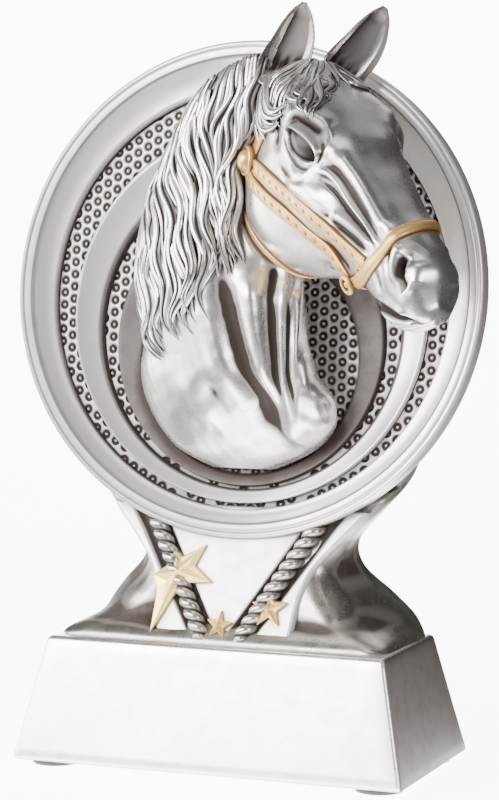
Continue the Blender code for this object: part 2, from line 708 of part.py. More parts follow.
def mane_path(share, count=7):
    """Route of one lock, from its root on the crest to its tip, seen from the front."""
    root, tip = through(MANE_ROOTS, share), through(MANE_TIPS, share)
    t = np.linspace(0, 1, count)
    x = root[0] + (tip[0] - root[0]) * t - MANE_SWEEP * np.sin(math.pi * t) ** 1.2
    x = x + MANE_WAVE * t * np.sin(2 * math.pi * (1.5 * t + 2.3 * share))
    z = root[1] + (tip[1] - root[1]) * t
    return x, z


def make_mane():
    locks = []
    for k in range(MANE_LOCKS):
        x, z = mane_path(k / (MANE_LOCKS - 1))
        path = np.stack([x, neck_front(x, z) + MANE_SUNK, z], -1)
        locks.append(make_lock("mane_lock", path, MANE_LOCK_RADIUS))
    return locks


# Routes of the forelock's locks: place along the head and line round it.
FORELOCK = (
    ((-0.03, 0.1), (-0.01, 0.9), (0.03, 1.75), (0.10, 2.05), (0.20, 2.05)),
    ((-0.02, 0.0), (0.04, 0.7), (0.11, 1.3), (0.19, 1.6), (0.25, 1.75)),
    ((-0.02, -0.1), (0.07, 0.3), (0.14, 0.7), (0.21, 0.9), (0.27, 1.05)),
    ((-0.02, -0.2), (0.07, -0.1), (0.14, 0.15), (0.21, 0.3), (0.26, 0.35)),
    ((-0.03, -0.3), (0.03, -0.6), (0.08, -0.9), (0.12, -1.3), (0.16, -1.5)),
)
FORELOCK_RADIUS = 1.6
FORELOCK_PROUD = 0.004


def make_forelock():
    locks = []
    for route in FORELOCK:
        knots = [(k, *place) for k, place in enumerate(route)]
        x, line = through(knots, np.linspace(0, len(route) - 1, 7)).T
        place, out = head_skin(x, line % 12)
        locks.append(make_lock("forelock", head_to_world(place + out * FORELOCK_PROUD), FORELOCK_RADIUS))
    return locks


def unite(name, bodies, look):
    """One solid out of many overlapping ones, with the pockets sealed between them filled."""
    masses = bpy.data.collections.new("trophy masses")
    bpy.context.scene.collection.children.link(masses)
    first, rest = bodies[0], bodies[1:]
    bpy.context.scene.collection.objects.link(first)
    for body in rest:
        masses.objects.link(body)
    joined = first.modifiers.new("masses", "BOOLEAN")
    joined.operation = "UNION"
    joined.operand_type = "COLLECTION"
    joined.collection = masses
    joined.solver = "EXACT"
    joined.use_self = True
    bpy.context.view_layer.update()
    evaluated = first.evaluated_get(bpy.context.evaluated_depsgraph_get())
    shape = bmesh.new()
    shape.from_mesh(evaluated.to_mesh())
    keep_outer_skin(shape)
    fused = mesh_object(name, shape)
    fused.data.materials.append(look)
    for body in bodies:
        bpy.data.objects.remove(body, do_unlink=True)
    return fused


def keep_outer_skin(shape):
    """Removes every skin but the one that reaches furthest, so no pocket stays inside."""
    left = set(shape.verts)
    skins = []
    while left:
        front = [left.pop()]
        skin = list(front)
        while front:
            near = {e.other_vert(v) for v in front for e in v.link_edges} & left
            left -= near
            skin += near
            front = list(near)
        skins.append(skin)
    skins.sort(key=len)
    bmesh.ops.delete(shape, geom=[v for skin in skins[:-1] for v in skin], context="VERTS")


def make_pad(name, x, y, look):
    bpy.ops.mesh.primitive_cylinder_add(vertices=24, radius=PAD_DIAMETER / 2 * MM, depth=PAD_HEIGHT * MM,
                                        location=(x * MM, y * MM, PAD_HEIGHT / 2 * MM))
    pad = bpy.context.object
    pad.name = name
    bpy.context.collection.objects.unlink(pad)
    pad.data.materials.append(look)
    return pad


def centre_box(collection):
    """Moves everything so that the box round it is centred over the origin."""
    bpy.context.view_layer.update()
    places = np.array([o.matrix_world @ v.co for o in collection.objects for v in o.data.vertices])
    low, high = places.min(0), places.max(0)
    shift = -(low + high) / 2
    for made in collection.objects:
        made.location.x += shift[0]
        made.location.y += shift[1]


def main():
    clear_scene()
    trophy = bpy.data.collections.new("horse head trophy")
    bpy.context.scene.collection.children.link(trophy)
    silver = material("antique silver resin", RESIN_GREY, 0.75, 0.38)
    rubber = material("black pad", RUBBER_BLACK, 0.0, 0.8)
    bodies = [loft("dish", dish_rings()), make_base(), make_waist(), make_panel()]
    bodies += [make_rope(-1), make_rope(1)]
    bodies += make_stars()
    bodies += [make_head(), make_neck()]
    bodies += make_ears()
    bodies += make_mane()
    bodies += make_forelock()
    bodies += make_halter()
    casting = unite("trophy_casting", bodies, silver)
    trophy.objects.link(casting)
    reach_x = BASE_WIDTH / 2 - PAD_INSET - PAD_DIAMETER / 2
    reach_y = BASE_DEPTH / 2 - PAD_INSET - PAD_DIAMETER / 2
    for row, y in (("front", -reach_y), ("back", reach_y)):
        for side, x in (("left", -reach_x), ("right", reach_x)):
            trophy.objects.link(make_pad(f"foot_pad_{row}_{side}", x, y, rubber))
    centre_box(trophy)


main()
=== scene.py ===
"""Visual model of a cast horse head trophy in antique silver with a gold halter.

Lengths are millimetres from the middle of the plinth's footprint, with X to the horse's
muzzle side, Y to the back and Z up. They become metres in the shared frame where a mesh is
made. Each piece replaces part of the one casting and rides on the only body.
"""
import math

import bpy
import numpy as np
from mathutils import Matrix, Vector


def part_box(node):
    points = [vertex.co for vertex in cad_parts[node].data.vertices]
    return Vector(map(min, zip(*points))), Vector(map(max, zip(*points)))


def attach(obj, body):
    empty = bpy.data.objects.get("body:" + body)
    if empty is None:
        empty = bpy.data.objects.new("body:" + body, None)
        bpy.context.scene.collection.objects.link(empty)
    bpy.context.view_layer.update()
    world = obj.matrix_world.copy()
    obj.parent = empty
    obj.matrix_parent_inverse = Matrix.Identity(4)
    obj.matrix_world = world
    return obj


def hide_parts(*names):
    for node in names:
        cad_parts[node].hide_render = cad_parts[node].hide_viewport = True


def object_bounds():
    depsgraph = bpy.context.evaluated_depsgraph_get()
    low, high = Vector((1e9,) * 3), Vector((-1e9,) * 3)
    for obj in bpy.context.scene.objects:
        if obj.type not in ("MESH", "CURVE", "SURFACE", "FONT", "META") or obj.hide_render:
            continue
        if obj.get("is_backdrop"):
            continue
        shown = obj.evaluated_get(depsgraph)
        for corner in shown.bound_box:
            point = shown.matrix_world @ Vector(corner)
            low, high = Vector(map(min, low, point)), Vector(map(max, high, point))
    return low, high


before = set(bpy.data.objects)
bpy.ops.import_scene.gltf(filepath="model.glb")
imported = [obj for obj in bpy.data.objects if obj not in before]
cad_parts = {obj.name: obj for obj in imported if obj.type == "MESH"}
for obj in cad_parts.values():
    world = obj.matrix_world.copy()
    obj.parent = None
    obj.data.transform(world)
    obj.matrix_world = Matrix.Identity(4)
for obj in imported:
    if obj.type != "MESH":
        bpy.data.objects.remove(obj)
CAD_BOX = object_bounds()
MM = 0.001
CASTING = "trophy_casting"
PADS = ("foot_pad_front_left", "foot_pad_front_right", "foot_pad_back_left", "foot_pad_back_right")

PAD_MIDDLES = np.array([np.mean(np.array(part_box(pad), float), axis=0) for pad in PADS])
ORIGIN = np.array([PAD_MIDDLES[:, 0].mean(), PAD_MIDDLES[:, 1].mean(), 0.0]) / MM

# Base, waist and panel
BASE_WIDTH = 82.2
BASE_DEPTH = 42.1
BASE_DRAFT = 5.5
BASE_FLOOR = 1.3
BASE_TOP = 25.8
WAIST_NECK = 17.2
WAIST_BACK_SPREAD = 6.4
PANEL_FOOT = 14.6
PANEL_PROUD = 1.1
PANEL_LEAN = 0.39
PANEL_TOP_SETBACK = 2.0
PANEL_TOP_RISE = 24.2
PANEL_HEIGHT = 30.6

# Dish
DISH_RADIUS = 49.7
DISH_THICKNESS = 10.2
DISH_WALL = 4.0
DISH_LEAN = math.radians(6.9)
DISH_RISE = 69.4
DISH_SETBACK = 1.2
LIP_SHARE = 0.930
STEP_SHARE = (0.853, 0.755, 0.650, 0.572, 0.470)
STEP_DROP = (0.033, 0.100, 0.156, 0.214, 0.278)
LIP_FOOT = 0.95
LIP_FALL = 2.2
FIRST_FLOOR = 3.6
RING_FALL = 3.8
SECOND_FLOOR = 5.0
INNER_LEDGE = 4.6
LAST_FLOOR = 5.8
DOT_COLUMN = 2.15
DOT_PITCH = 2.5
DOT_RADIUS = 0.60
DOT_DEPTH = 0.42

# Head
HEAD_LENGTH = 66.5
HEAD_WIDTH_SHARE = 0.96
HEAD_DEPTH_SHARE = 1.03
HEAD_ROWS = 264
HEAD_SIDES = 264
POLL = (17.4, -6.0, 138.8)
NOSE_WAY = (0.622, -0.590, -0.515)
LEFT_WAY = (0.676, 0.736, -0.028)
NEAR, FAR = -1, 1
FAR_CARVING = 0.45
FAR_EYE = 0.25

# Wash and painted shade of plain ground in a piece's paint: 0 is a rubbed edge and 1 a deep hollow
EVEN = 0.46


# Small mathematics

def unit(v):
    v = np.asarray(v, float)
    return v / np.maximum(np.linalg.norm(v, axis=-1, keepdims=True), 1e-12)


def through(knots, x):
    """A smooth curve through (place, value...) knots, read at x, flat past its ends."""
    table = np.asarray(knots, float)
    place, value = table[:, 0], table[:, 1:]
    slope = np.gradient(value, place, axis=0)
    x = np.clip(np.asarray(x, float), place[0], place[-1])
    k = np.clip(np.searchsorted(place, x, side="right") - 1, 0, len(place) - 2)
    gap = (place[k + 1] - place[k])[..., None]
    t = ((x - place[k]) / (place[k + 1] - place[k]))[..., None]
    start = (2 * t**3 - 3 * t**2 + 1) * value[k] + (t**3 - 2 * t**2 + t) * gap * slope[k]
    end = (3 * t**2 - 2 * t**3) * value[k + 1] + (t**3 - t**2) * gap * slope[k + 1]
    return start + end


def pairs(*numbers):
    """Places of a route, or steps of a profile, two numbers each."""
    return np.reshape(numbers, (-1, 2))


def circle(count):
    """Evenly stepped angles once round."""
    return np.linspace(0, 2 * math.pi, count, endpoint=False)


def along_route(route, count):
    """Evenly stepped places on a smooth curve through the route's places."""
    route = np.asarray(route, float)
    knots = np.column_stack([np.arange(len(route)), route])
    return through(knots, np.linspace(0, len(route) - 1, count))


def ease(low, high, x):
    """0 below low, 1 above high and a soft rise between."""
    t = np.clip((x - low) / (high - low), 0, 1)
    return t * t * (3 - 2 * t)


def waves(points, size, seed):
    """Smooth wandering values from about -1 to 1, with features of the given size."""
    draw = np.random.default_rng(seed)
    total = np.zeros(points.shape[:-1])
    for _ in range(7):
        way = unit(draw.normal(size=3)) / (size * draw.uniform(0.7, 1.4)) * 2 * math.pi
        total += np.sin(points @ way + draw.uniform(0, 6.3))
    return total / 3.2


# Meshes

def grid_normals(grid):
    """Unit normals of rows of places that close on themselves along each row."""
    along = np.gradient(grid, axis=0)
    around = np.roll(grid, -1, 1) - np.roll(grid, 1, 1)
    return unit(np.cross(around, along))


def blur_rows(values, reach):
    """Box blur along the first index, held at the ends."""
    padded = np.concatenate([np.repeat(values[:1], reach, 0), values, np.repeat(values[-1:], reach, 0)])
    total = np.cumsum(np.concatenate([np.zeros_like(padded[:1]), padded]), axis=0)
    width = 2 * reach + 1
    return (total[width:] - total[:-width]) / width


def blur_grid(grid, reach):
    grid = blur_rows(grid, reach)
    turned = np.swapaxes(grid, 0, 1)
    wrapped = np.concatenate([turned[-reach:], turned, turned[:reach]])
    total = np.cumsum(np.concatenate([np.zeros_like(wrapped[:1]), wrapped]), axis=0)
    width = 2 * reach + 1
    return np.swapaxes((total[width:] - total[:-width]) / width, 0, 1)


def hollow_of(grid, reaches, depth):
    """0 on a worn edge, 0.5 on even ground and 1 in a recess, from the shape itself."""
    out = grid_normals(grid)
    if signed_volume_of_grid(grid) < 0:
        out = -out
    total = np.zeros(grid.shape[:2])
    for reach in reaches:
        total += ((blur_grid(grid, reach) - grid) * out).sum(-1) / (depth * reach)
    return np.clip(0.5 + 0.5 * total / len(reaches), 0, 1)


def signed_volume_of_grid(grid):
    """Sign of the space inside a closed stack of rings."""
    a, b = grid[:-1], grid[1:]
    c, d = np.roll(a, -1, 1), np.roll(b, -1, 1)
    middle = grid.mean((0, 1))
    a, b, c, d = a - middle, b - middle, c - middle, d - middle
    return (np.cross(a, c) * d).sum() + (np.cross(a, d) * b).sum()


def add_object(name, data):
    made = bpy.data.objects.new(name, data)
    bpy.context.scene.collection.objects.link(made)
    return made


def make_mesh(name, verts, faces, look, wash_and_shade=None, smooth=True, node=CASTING, slot="silver_resin"):
    """A piece of the trophy from places in millimetres, riding on the body."""
    mesh = bpy.data.meshes.new(name)
    mesh.from_pydata(((np.asarray(verts) + ORIGIN) * MM).tolist(), [], faces)
    mesh.validate()
    mesh.update()
    if smooth:
        mesh.shade_smooth()
    if wash_and_shade is not None:
        layer = mesh.attributes.new("wash_and_shade", "FLOAT", "POINT")
        layer.data.foreach_set("value", np.asarray(wash_and_shade, dtype=np.float32))
    mesh.materials.append(look)
    made = add_object(name, mesh)
    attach(made, "root")
    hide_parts(node)
    return made


def grid_faces(rows, sides):
    r, s = np.meshgrid(np.arange(rows - 1), np.arange(sides), indexing="ij")
    a = r * sides + s
    b = r * sides + (s + 1) % sides
    return np.stack([a, b, b + sides, a + sides], -1).reshape(-1, 4).tolist()


def closed_grid(grid, wash_and_shade=None):
    """Vertices, faces and wash-and-shade values of a closed stack of rings, facing outwards."""
    grid = np.asarray(grid, float)
    rows, sides = grid.shape[:2]
    verts = np.concatenate([grid.reshape(-1, 3), grid[0].mean(0)[None], grid[-1].mean(0)[None]])
    faces = grid_faces(rows, sides)
    first, last = rows * sides, rows * sides + 1
    top = (rows - 1) * sides
    for i in range(sides):
        j = (i + 1) % sides
        faces.append([j, i, first])
        faces.append([top + i, top + j, last])
    if signed_volume_of_grid(grid) < 0:
        faces = [face[::-1] for face in faces]
    if wash_and_shade is None:
        wash_and_shade = np.full((rows, sides), 0.5)
    wash_and_shade = np.concatenate([np.asarray(wash_and_shade, float).reshape(-1), [0.5, 0.5]])
    return verts, faces, wash_and_shade


def make_grid(name, grid, look, wash_and_shade=None, **extra):
    verts, faces, wash_and_shade = closed_grid(grid, wash_and_shade)
    return make_mesh(name, verts, faces, look, wash_and_shade, **extra)


def make_bundle(name, parts, look, **extra):
    """One piece from several closed stacks of rings, each with its wash-and-shade values."""
    all_verts, all_faces, all_wash_and_shade, start = [], [], [], 0
    for grid, shades in parts:
        verts, faces, wash_and_shade = closed_grid(grid, shades)
        all_verts.append(verts)
        all_faces += [[i + start for i in face] for face in faces]
        all_wash_and_shade.append(wash_and_shade)
        start += len(verts)
    return make_mesh(name, np.concatenate(all_verts), all_faces, look, np.concatenate(all_wash_and_shade), **extra)


# Materials

class Paint:
    """A material whose node inputs each take a socket, a number or a colour."""

    def __init__(self, name):
        self.made = bpy.data.materials.new(name)
        self.made.use_nodes = True
        self.tree = self.made.node_tree
        self.shader = self.tree.nodes["Principled BSDF"]
        self.place = self.add("TexCoord").outputs["Object"]

    def feed(self, socket, value):
        if isinstance(value, bpy.types.NodeSocket):
            self.tree.links.new(value, socket)
        elif socket.type == "RGBA":
            socket.default_value = (*value, 1.0)
        else:
            socket.default_value = value

    def wear(self, sockets):
        for key, value in sockets.items():
            self.feed(self.shader.inputs[key], value)
        return self.made

    def add(self, kind, **inputs):
        node = self.tree.nodes.new("ShaderNode" + kind)
        for key, value in inputs.items():
            self.feed(node.inputs[key], value)
        return node

    def maths(self, operation, first, second, clamp=False):
        node = self.add("Math")
        node.operation = operation
        node.use_clamp = clamp
        self.feed(node.inputs[0], first)
        self.feed(node.inputs[1], second)
        return node.outputs[0]

    def mix(self, factor, first, second):
        node = self.add("Mix")
        node.data_type = "RGBA"
        for k, value in ((0, factor), (6, first), (7, second)):
            self.feed(node.inputs[k], value)
        return node.outputs[2]

    def spread(self, *numbers):
        """Value, its low and high ends, and what they become."""
        node = self.add("MapRange")
        for socket, number in zip(node.inputs, numbers):
            self.feed(socket, number)
        return node.outputs[0]

    def noise(self, scale, detail, roughness=0.5):
        node = self.add("TexNoise", Vector=self.place, Scale=scale, Detail=detail, Roughness=roughness)
        return node.outputs["Fac"]

    def bump(self, height, distance, strength):
        return self.add("Bump", Height=height, Distance=distance, Strength=strength).outputs["Normal"]


def cast_paint(name, bright, dark, metallic, sheen, patina_and_shade, grain, reach, clouds):
    """Paint on cast resin: bright on what is rubbed, with dark wash left in each hollow. The same values also
    carry painted highlights and painted shade where a piece sets them by side and place.
    """
    paint = Paint(name)
    maths, spread = paint.maths, paint.spread
    given_wash_and_shade = paint.add("Attribute")
    given_wash_and_shade.attribute_name = "wash_and_shade"
    given_wash_and_shade = given_wash_and_shade.outputs["Fac"]
    shade = paint.add("AmbientOcclusion", Distance=reach)
    shade.samples = 8
    cloud, speckle = paint.noise(230.0, 4.0, 0.6), paint.noise(2600.0, 2.0)
    closed_in = maths("MULTIPLY", spread(shade.outputs["AO"], 0.30, 0.92, 1.0, 0.0), 0.75)
    dark_wash_and_shade = maths("MULTIPLY", maths("ADD", closed_in, spread(given_wash_and_shade, 0.52, 0.84, 0.0, 1.0)), patina_and_shade)
    dark_wash_and_shade = maths("ADD", dark_wash_and_shade, spread(cloud, 0.42, 0.75, -0.04 * clouds, 0.16 * clouds))
    dark_wash_and_shade = maths("ADD", dark_wash_and_shade, spread(speckle, 0.55, 0.80, 0.0, 0.10 * clouds), clamp=True)
    # Lighter where the values are low: on rubbed edges, and as painted highlights where a piece sets them
    rubbed_and_lit = tuple(min(1.0, c * 1.22 + 0.04) for c in bright)
    tone = paint.mix(spread(given_wash_and_shade, 0.46, 0.15, 0.0, 1.0), bright, rubbed_and_lit)
    rough = maths("ADD", spread(dark_wash_and_shade, 0.0, 1.0, sheen, sheen + 0.12), spread(cloud, 0.3, 0.7, -0.04, 0.05))
    return paint.wear({
        "Base Color": paint.mix(dark_wash_and_shade, tone, dark),
        "Metallic": spread(dark_wash_and_shade, 0.0, 1.0, metallic, metallic * 0.12),
        "Specular IOR Level": spread(dark_wash_and_shade, 0.0, 1.0, 0.5, 0.07),
        "Roughness": rough,
        "Normal": paint.bump(paint.noise(1500.0, 3.0, 0.6), 0.00012, grain),
    })


def rubber_paint(name):
    paint = Paint(name)
    cloud = paint.noise(900.0, 3.0)
    return paint.wear({
        "Base Color": paint.mix(cloud, (0.008, 0.008, 0.008), (0.03, 0.03, 0.03)),
        "Roughness": paint.spread(cloud, 0.3, 0.7, 0.6, 0.85),
        "Normal": paint.bump(cloud, 0.0001, 0.6),
    })


# Name, bright and dark colour, then metallic, sheen, strength of patina and painted shade, grain, reach of
# the shade and clouds
# One silver paint covers the whole casting. The plinth's copy is lighter as painted light. The copy on the
# dish, panel and floors is lighter as painted light, and less metallic. The copy on the waist and ropes is
# darker as painted shade.
SILVER = cast_paint("antique_silver", (0.60, 0.575, 0.56), (0.028, 0.021, 0.018),
                    0.94, 0.27, 1.0, 0.10, 0.0032, 0.25)
PLINTH_SILVER = cast_paint("plinth_silver", (0.76, 0.74, 0.72), (0.05, 0.038, 0.034),
                           0.90, 0.27, 0.9, 0.08, 0.0032, 0.15)
SMOOTH_SILVER = cast_paint("satin_silver", (0.70, 0.675, 0.66), (0.040, 0.030, 0.027),
                           0.62, 0.34, 0.9, 0.10, 0.0032, 0.25)
SHADED_SILVER = cast_paint("shaded_silver", (0.36, 0.335, 0.31), (0.028, 0.020, 0.017),
                           0.93, 0.28, 0.9, 0.10, 0.0032, 0.4)
GOLD = cast_paint("halter_gold", (0.62, 0.39, 0.145), (0.15, 0.06, 0.022),
                  0.66, 0.36, 0.95, 0.2, 0.0020, 0.8)
STAR_GOLD = cast_paint("star_gold", (0.96, 0.68, 0.24), (0.26, 0.11, 0.04),
                       0.60, 0.36, 0.8, 0.15, 0.0020, 0.5)
RUBBER = rubber_paint("pad_black")
# The eyes are painted nearly black: dark wash with painted shade of their deep sockets
EYE_LOOK = cast_paint("eye_dark", (0.050, 0.040, 0.036), (0.016, 0.012, 0.010),
                      0.45, 0.24, 1.0, 0.05, 0.0032, 0.3)


# Base and waist

def rounded_ring(front, back, y_front, y_back, z, corner, corner_steps, side_steps):
    """A level ring with rounded corners and evenly filled sides, starting at the front right."""
    corners = [(front, y_front), (back, y_back), (-back, y_back), (-front, y_front)]
    ends = []
    for k, (x, y) in enumerate(corners):
        here = np.array([x, y])
        before = np.array(corners[k - 1]) - here
        after = np.array(corners[(k + 1) % 4]) - here
        reach = min(corner, np.linalg.norm(before) * 0.45, np.linalg.norm(after) * 0.45)
        start, end = here + unit(before) * reach, here + unit(after) * reach
        t = np.linspace(0, 1, corner_steps)[:, None]
        ends.append((1 - t) ** 2 * start + 2 * t * (1 - t) * here + t**2 * end)
    points = []
    for k, arc in enumerate(ends):
        following = ends[(k + 1) % 4][0]
        points.append(arc)
        t = np.linspace(0, 1, side_steps + 2)[1:-1, None]
        points.append(arc[-1] * (1 - t) + following * t)
    flat = np.concatenate(points)
    return np.column_stack([flat, np.full(len(flat), z)])


def build_base():
    edge = 0.8
    height = BASE_TOP - BASE_FLOOR
    rises = [(0.0, -edge), (0.1, -0.45), (0.35, -0.12), (edge, 0.0)]
    rises += [(edge + (height - 2 * edge) * k / 14, 0.0) for k in range(1, 15)]
    rises += [(height - 0.35, -0.14), (height - 0.08, -0.45), (height, -edge), (height, -2.4)]
    rings = []
    for rise, inset in rises:
        draft = BASE_DRAFT * min(rise, height) / height
        half_x = BASE_WIDTH / 2 - draft + inset
        half_y = BASE_DEPTH / 2 - draft + inset
        rings.append(rounded_ring(half_x, half_x, -half_y, half_y, BASE_FLOOR + rise, 0.9, 6, 26))
    grid = np.array(rings)
    away = grid_normals(grid)
    grid = grid + away * (waves(grid, 26.0, 3) * 0.05)[..., None]
    # Painted shade: the plinth's end faces, turned left and right, take more dark wash than its front and
    # back
    wash_and_shade = EVEN + 0.40 * ease(0.4, 0.8, np.abs(grid_normals(grid)[..., 0]))
    make_grid("plinth", grid, PLINTH_SILVER, wash_and_shade)


def panel_y(z):
    return -PANEL_TOP_SETBACK - (BASE_TOP + PANEL_TOP_RISE - z) * PANEL_LEAN


def waist_knots():
    """Height above the base, half-width at the front and back, and the two depths."""
    top_x, top_y = BASE_WIDTH / 2 - BASE_DRAFT, BASE_DEPTH / 2 - BASE_DRAFT
    neck, spread = WAIST_NECK, WAIST_BACK_SPREAD
    foot = BASE_TOP
    return [
        (-1.0, top_x - 0.4, top_x - 0.4, -top_y + 3.0, top_y - 0.4),
        (0.4, top_x - 1.0, top_x - 0.6, -top_y + 3.2, top_y - 0.6),
        (4.0, neck + 9.0, top_x - 1.2, panel_y(foot + 4.0) + PANEL_PROUD, top_y - 2.0),
        (8.6, neck + 4.2, neck + spread + 7.2, panel_y(foot + 8.6) + PANEL_PROUD, top_y - 4.2),
        (14.5, neck + 1.4, neck + spread + 1.4, panel_y(foot + 14.5) + PANEL_PROUD, top_y - 6.6),
        (20.0, neck + 5.8, neck + spread + 0.6, panel_y(foot + 20.0) + PANEL_PROUD, top_y - 8.0),
        (24.6, neck + 10.2, neck + spread + 4.0, panel_y(foot + 24.6) + PANEL_PROUD, top_y - 8.4),
        (29.0, neck + 13.6, neck + spread + 7.8, panel_y(foot + 29.0) + PANEL_PROUD, top_y - 8.6),
        (33.0, neck + 15.6, neck + spread + 11.0, 0.6, top_y - 9.0),
        (37.0, neck + 16.8, neck + spread + 13.0, 1.6, top_y - 10.0),
    ]


def build_waist():
    heights = np.concatenate([[-1.0, -0.3], np.linspace(0.2, 37.0, 84)])
    rings = []
    for rise, (front, back, y_front, y_back) in zip(heights, through(waist_knots(), heights)):
        z = BASE_TOP + rise
        behind = rim_plane_y(z) + LAST_FLOOR + 1.6
        y_front = y_front + (max(y_front, behind) - y_front) * ease(53.5, 56.5, z)
        rings.append(rounded_ring(front, back, y_front, y_back, z, 4.6, 14, 34))
    grid = np.array(rings)
    grid = grid + grid_normals(grid) * (waves(grid, 17.0, 5) * 0.12)[..., None]
    # Painted shade: the waist grows darker towards its left side
    wash_and_shade = hollow_of(grid, (3, 7), 0.05) + 0.38 * ease(8.0, 18.0, -grid[..., 0])
    make_grid("waist", grid, SHADED_SILVER, np.clip(wash_and_shade, 0, 1))


ROPE_TOP = (19.6, 25.5)
ROPE_FOOT = (3.5, 0.8)
ROPE_RADIUS = 1.75
ROPE_TWIST = 5.2


def rope_gap(x, rise):
    """Distance on the panel from the nearer rope's line, and how far down it, 0 to 1."""
    top, foot = np.array(ROPE_TOP), np.array(ROPE_FOOT)
    spot = np.stack([np.abs(x), rise], -1)
    way = foot - top
    t = np.clip(((spot - top) @ way) / (way @ way), -0.2, 1.0)
    return np.linalg.norm(spot - (top + t[..., None] * way), axis=-1), t


def build_panel():
    """The shield, with a dark channel sunk for each arm of the rope."""
    knots = pairs(0.0, PANEL_FOOT, 5.0, PANEL_FOOT + 0.4, 9.5, PANEL_FOOT + 1.1, 14.5, WAIST_NECK + 0.4,
                  20.0, WAIST_NECK + 4.9, 24.6, WAIST_NECK + 9.2, PANEL_HEIGHT, WAIST_NECK + 13.4)
    heights = np.linspace(-0.3, PANEL_HEIGHT - 4.6, 70)
    across = np.linspace(-1, 1, 110)
    rings = []
    for rise, (half,) in zip(heights, through(knots, heights)):
        z = BASE_TOP + rise
        x = across * half
        gap, t = rope_gap(x, np.full_like(x, rise))
        channel = 2.6 + 0.5 * (1 - t)
        sunk = 0.95 * (1 - ease(channel * 0.62, channel, gap))
        edge = 1 - ease(0.0, 1.1, half - np.abs(x))
        y = panel_y(z) + sunk + edge**2 * 0.9
        front = np.column_stack([x, y, np.full_like(x, z)])
        back_x = np.linspace(half, -half, 12)
        back = np.column_stack([back_x, np.full(12, panel_y(z) + 5.0), np.full(12, z)])
        rings.append(np.concatenate([front, back]))
    grid = np.array(rings)
    gap, _ = rope_gap(grid[..., 0], grid[..., 2] - BASE_TOP)
    wash_and_shade = np.maximum(hollow_of(grid, (2, 5), 0.05), 0.98 - 0.45 * ease(1.9, 3.0, gap))
    make_grid("panel", grid, SMOOTH_SILVER, wash_and_shade)


def on_panel(x, rise, proud):
    z = BASE_TOP + rise
    return np.array([x, panel_y(z) - proud, z])


def build_ropes():
    """Each arm is a twisted cord: two lobes that wind round its line."""
    for side, name in ((-1, "rope_left"), (1, "rope_right")):
        top = on_panel(side * ROPE_TOP[0], ROPE_TOP[1] + 1.5, 0.0)
        foot = on_panel(side * ROPE_FOOT[0], ROPE_FOOT[1] - 0.6, 0.0)
        way = unit(foot - top)
        across = unit(np.cross(way, (0, -1, 0.4)))
        out = np.cross(across, way)
        length = np.linalg.norm(foot - top)
        s = np.linspace(0, length, 200)[:, None]
        turn = circle(30)[None, :]
        lobe = np.abs(np.cos(turn * side + 2 * math.pi * s / ROPE_TWIST))
        radius = ROPE_RADIUS * (0.66 + 0.36 * lobe ** 0.8) * (0.55 + 0.45 * ease(0, 1.6, length - s))
        grid = (top + s[..., None] * way + radius[..., None] * (np.cos(turn)[..., None] * across
                + np.sin(turn)[..., None] * out))
        wash_and_shade = np.clip(1.05 - 0.95 * lobe, 0, 1)
        make_grid(name, grid, SHADED_SILVER, wash_and_shade)


SHOOTING_STAR = pairs(-12.3, 17.4, -10.4, 16.0, -5.5, 18.5, -7.3, 14.5, -3.2, 11.5, -9.8, 10.9,
                      -15.1, 0.9, -14.7, 9.6, -16.2, 12.2, -13.4, 14.2)
SMALL_STARS = ((-0.5, 3.5, 2.8, 4.0), (9.6, 7.2, 3.9, -2.0))


def build_star(name, corners, centre):
    """A faceted star: ridges run to its tips and valleys to the corners between them."""
    corners = np.asarray(corners, float)
    count = len(corners)
    reach = np.linalg.norm(corners - centre, axis=1)
    outer = reach > np.roll(reach, 1)
    rings = []
    for share, tip_height, notch_height in ((1.0, -1.4, -1.4), (1.0, 0.55, 0.55), (0.93, 0.95, 0.80),
                                            (0.55, 1.45, 0.95), (0.04, 1.95, 1.90)):
        ring = []
        for k in range(count):
            place = centre + (corners[k] - centre) * share
            ring.append(on_panel(place[0], place[1], tip_height if outer[k] else notch_height))
        rings.append(ring)
    verts, faces, _ = closed_grid(np.array(rings))
    made = make_mesh(name, verts, faces, STAR_GOLD, np.full(len(verts), 0.42), smooth=False)
    soft = made.modifiers.new("rounded facets", "BEVEL")
    soft.width = 0.22 * MM
    soft.segments = 3
    soft.limit_method = "ANGLE"
    soft.angle_limit = math.radians(12)
    return made


def build_stars():
    build_star("shooting_star", SHOOTING_STAR, np.array([-10.6, 13.4]))
    for k, (x, rise, radius, tilt) in enumerate(SMALL_STARS):
        corners = []
        for step in range(10):
            reach = radius if step % 2 == 0 else radius * 0.42
            turn = math.radians(tilt) + math.pi * step / 5
            corners.append((x + reach * math.sin(turn), rise + reach * math.cos(turn)))
        build_star(f"small_star_{k + 1}", corners, np.array([x, rise]))


# Dish

def dish_frame():
    centre = np.array([0.0, DISH_SETBACK, BASE_TOP + DISH_RISE])
    up = np.array([0.0, math.sin(DISH_LEAN), math.cos(DISH_LEAN)])
    inward = np.array([0.0, math.cos(DISH_LEAN), -math.sin(DISH_LEAN)])
    return centre, np.array([1.0, 0.0, 0.0]), up, inward


def rim_plane_y(z):
    centre = dish_frame()[0]
    return centre[1] + (z - centre[2]) * math.tan(DISH_LEAN)


def dish_points(share, drop, depth, turn):
    centre, side, up, inward = dish_frame()
    share, drop, depth, turn = np.broadcast_arrays(share, drop, depth, turn)
    middle = centre - up * drop[..., None] * DISH_RADIUS + inward * depth[..., None]
    way = np.cos(turn)[..., None] * side + np.sin(turn)[..., None] * up
    return middle + share[..., None] * DISH_RADIUS * way


BAND_SUNK = 0.7


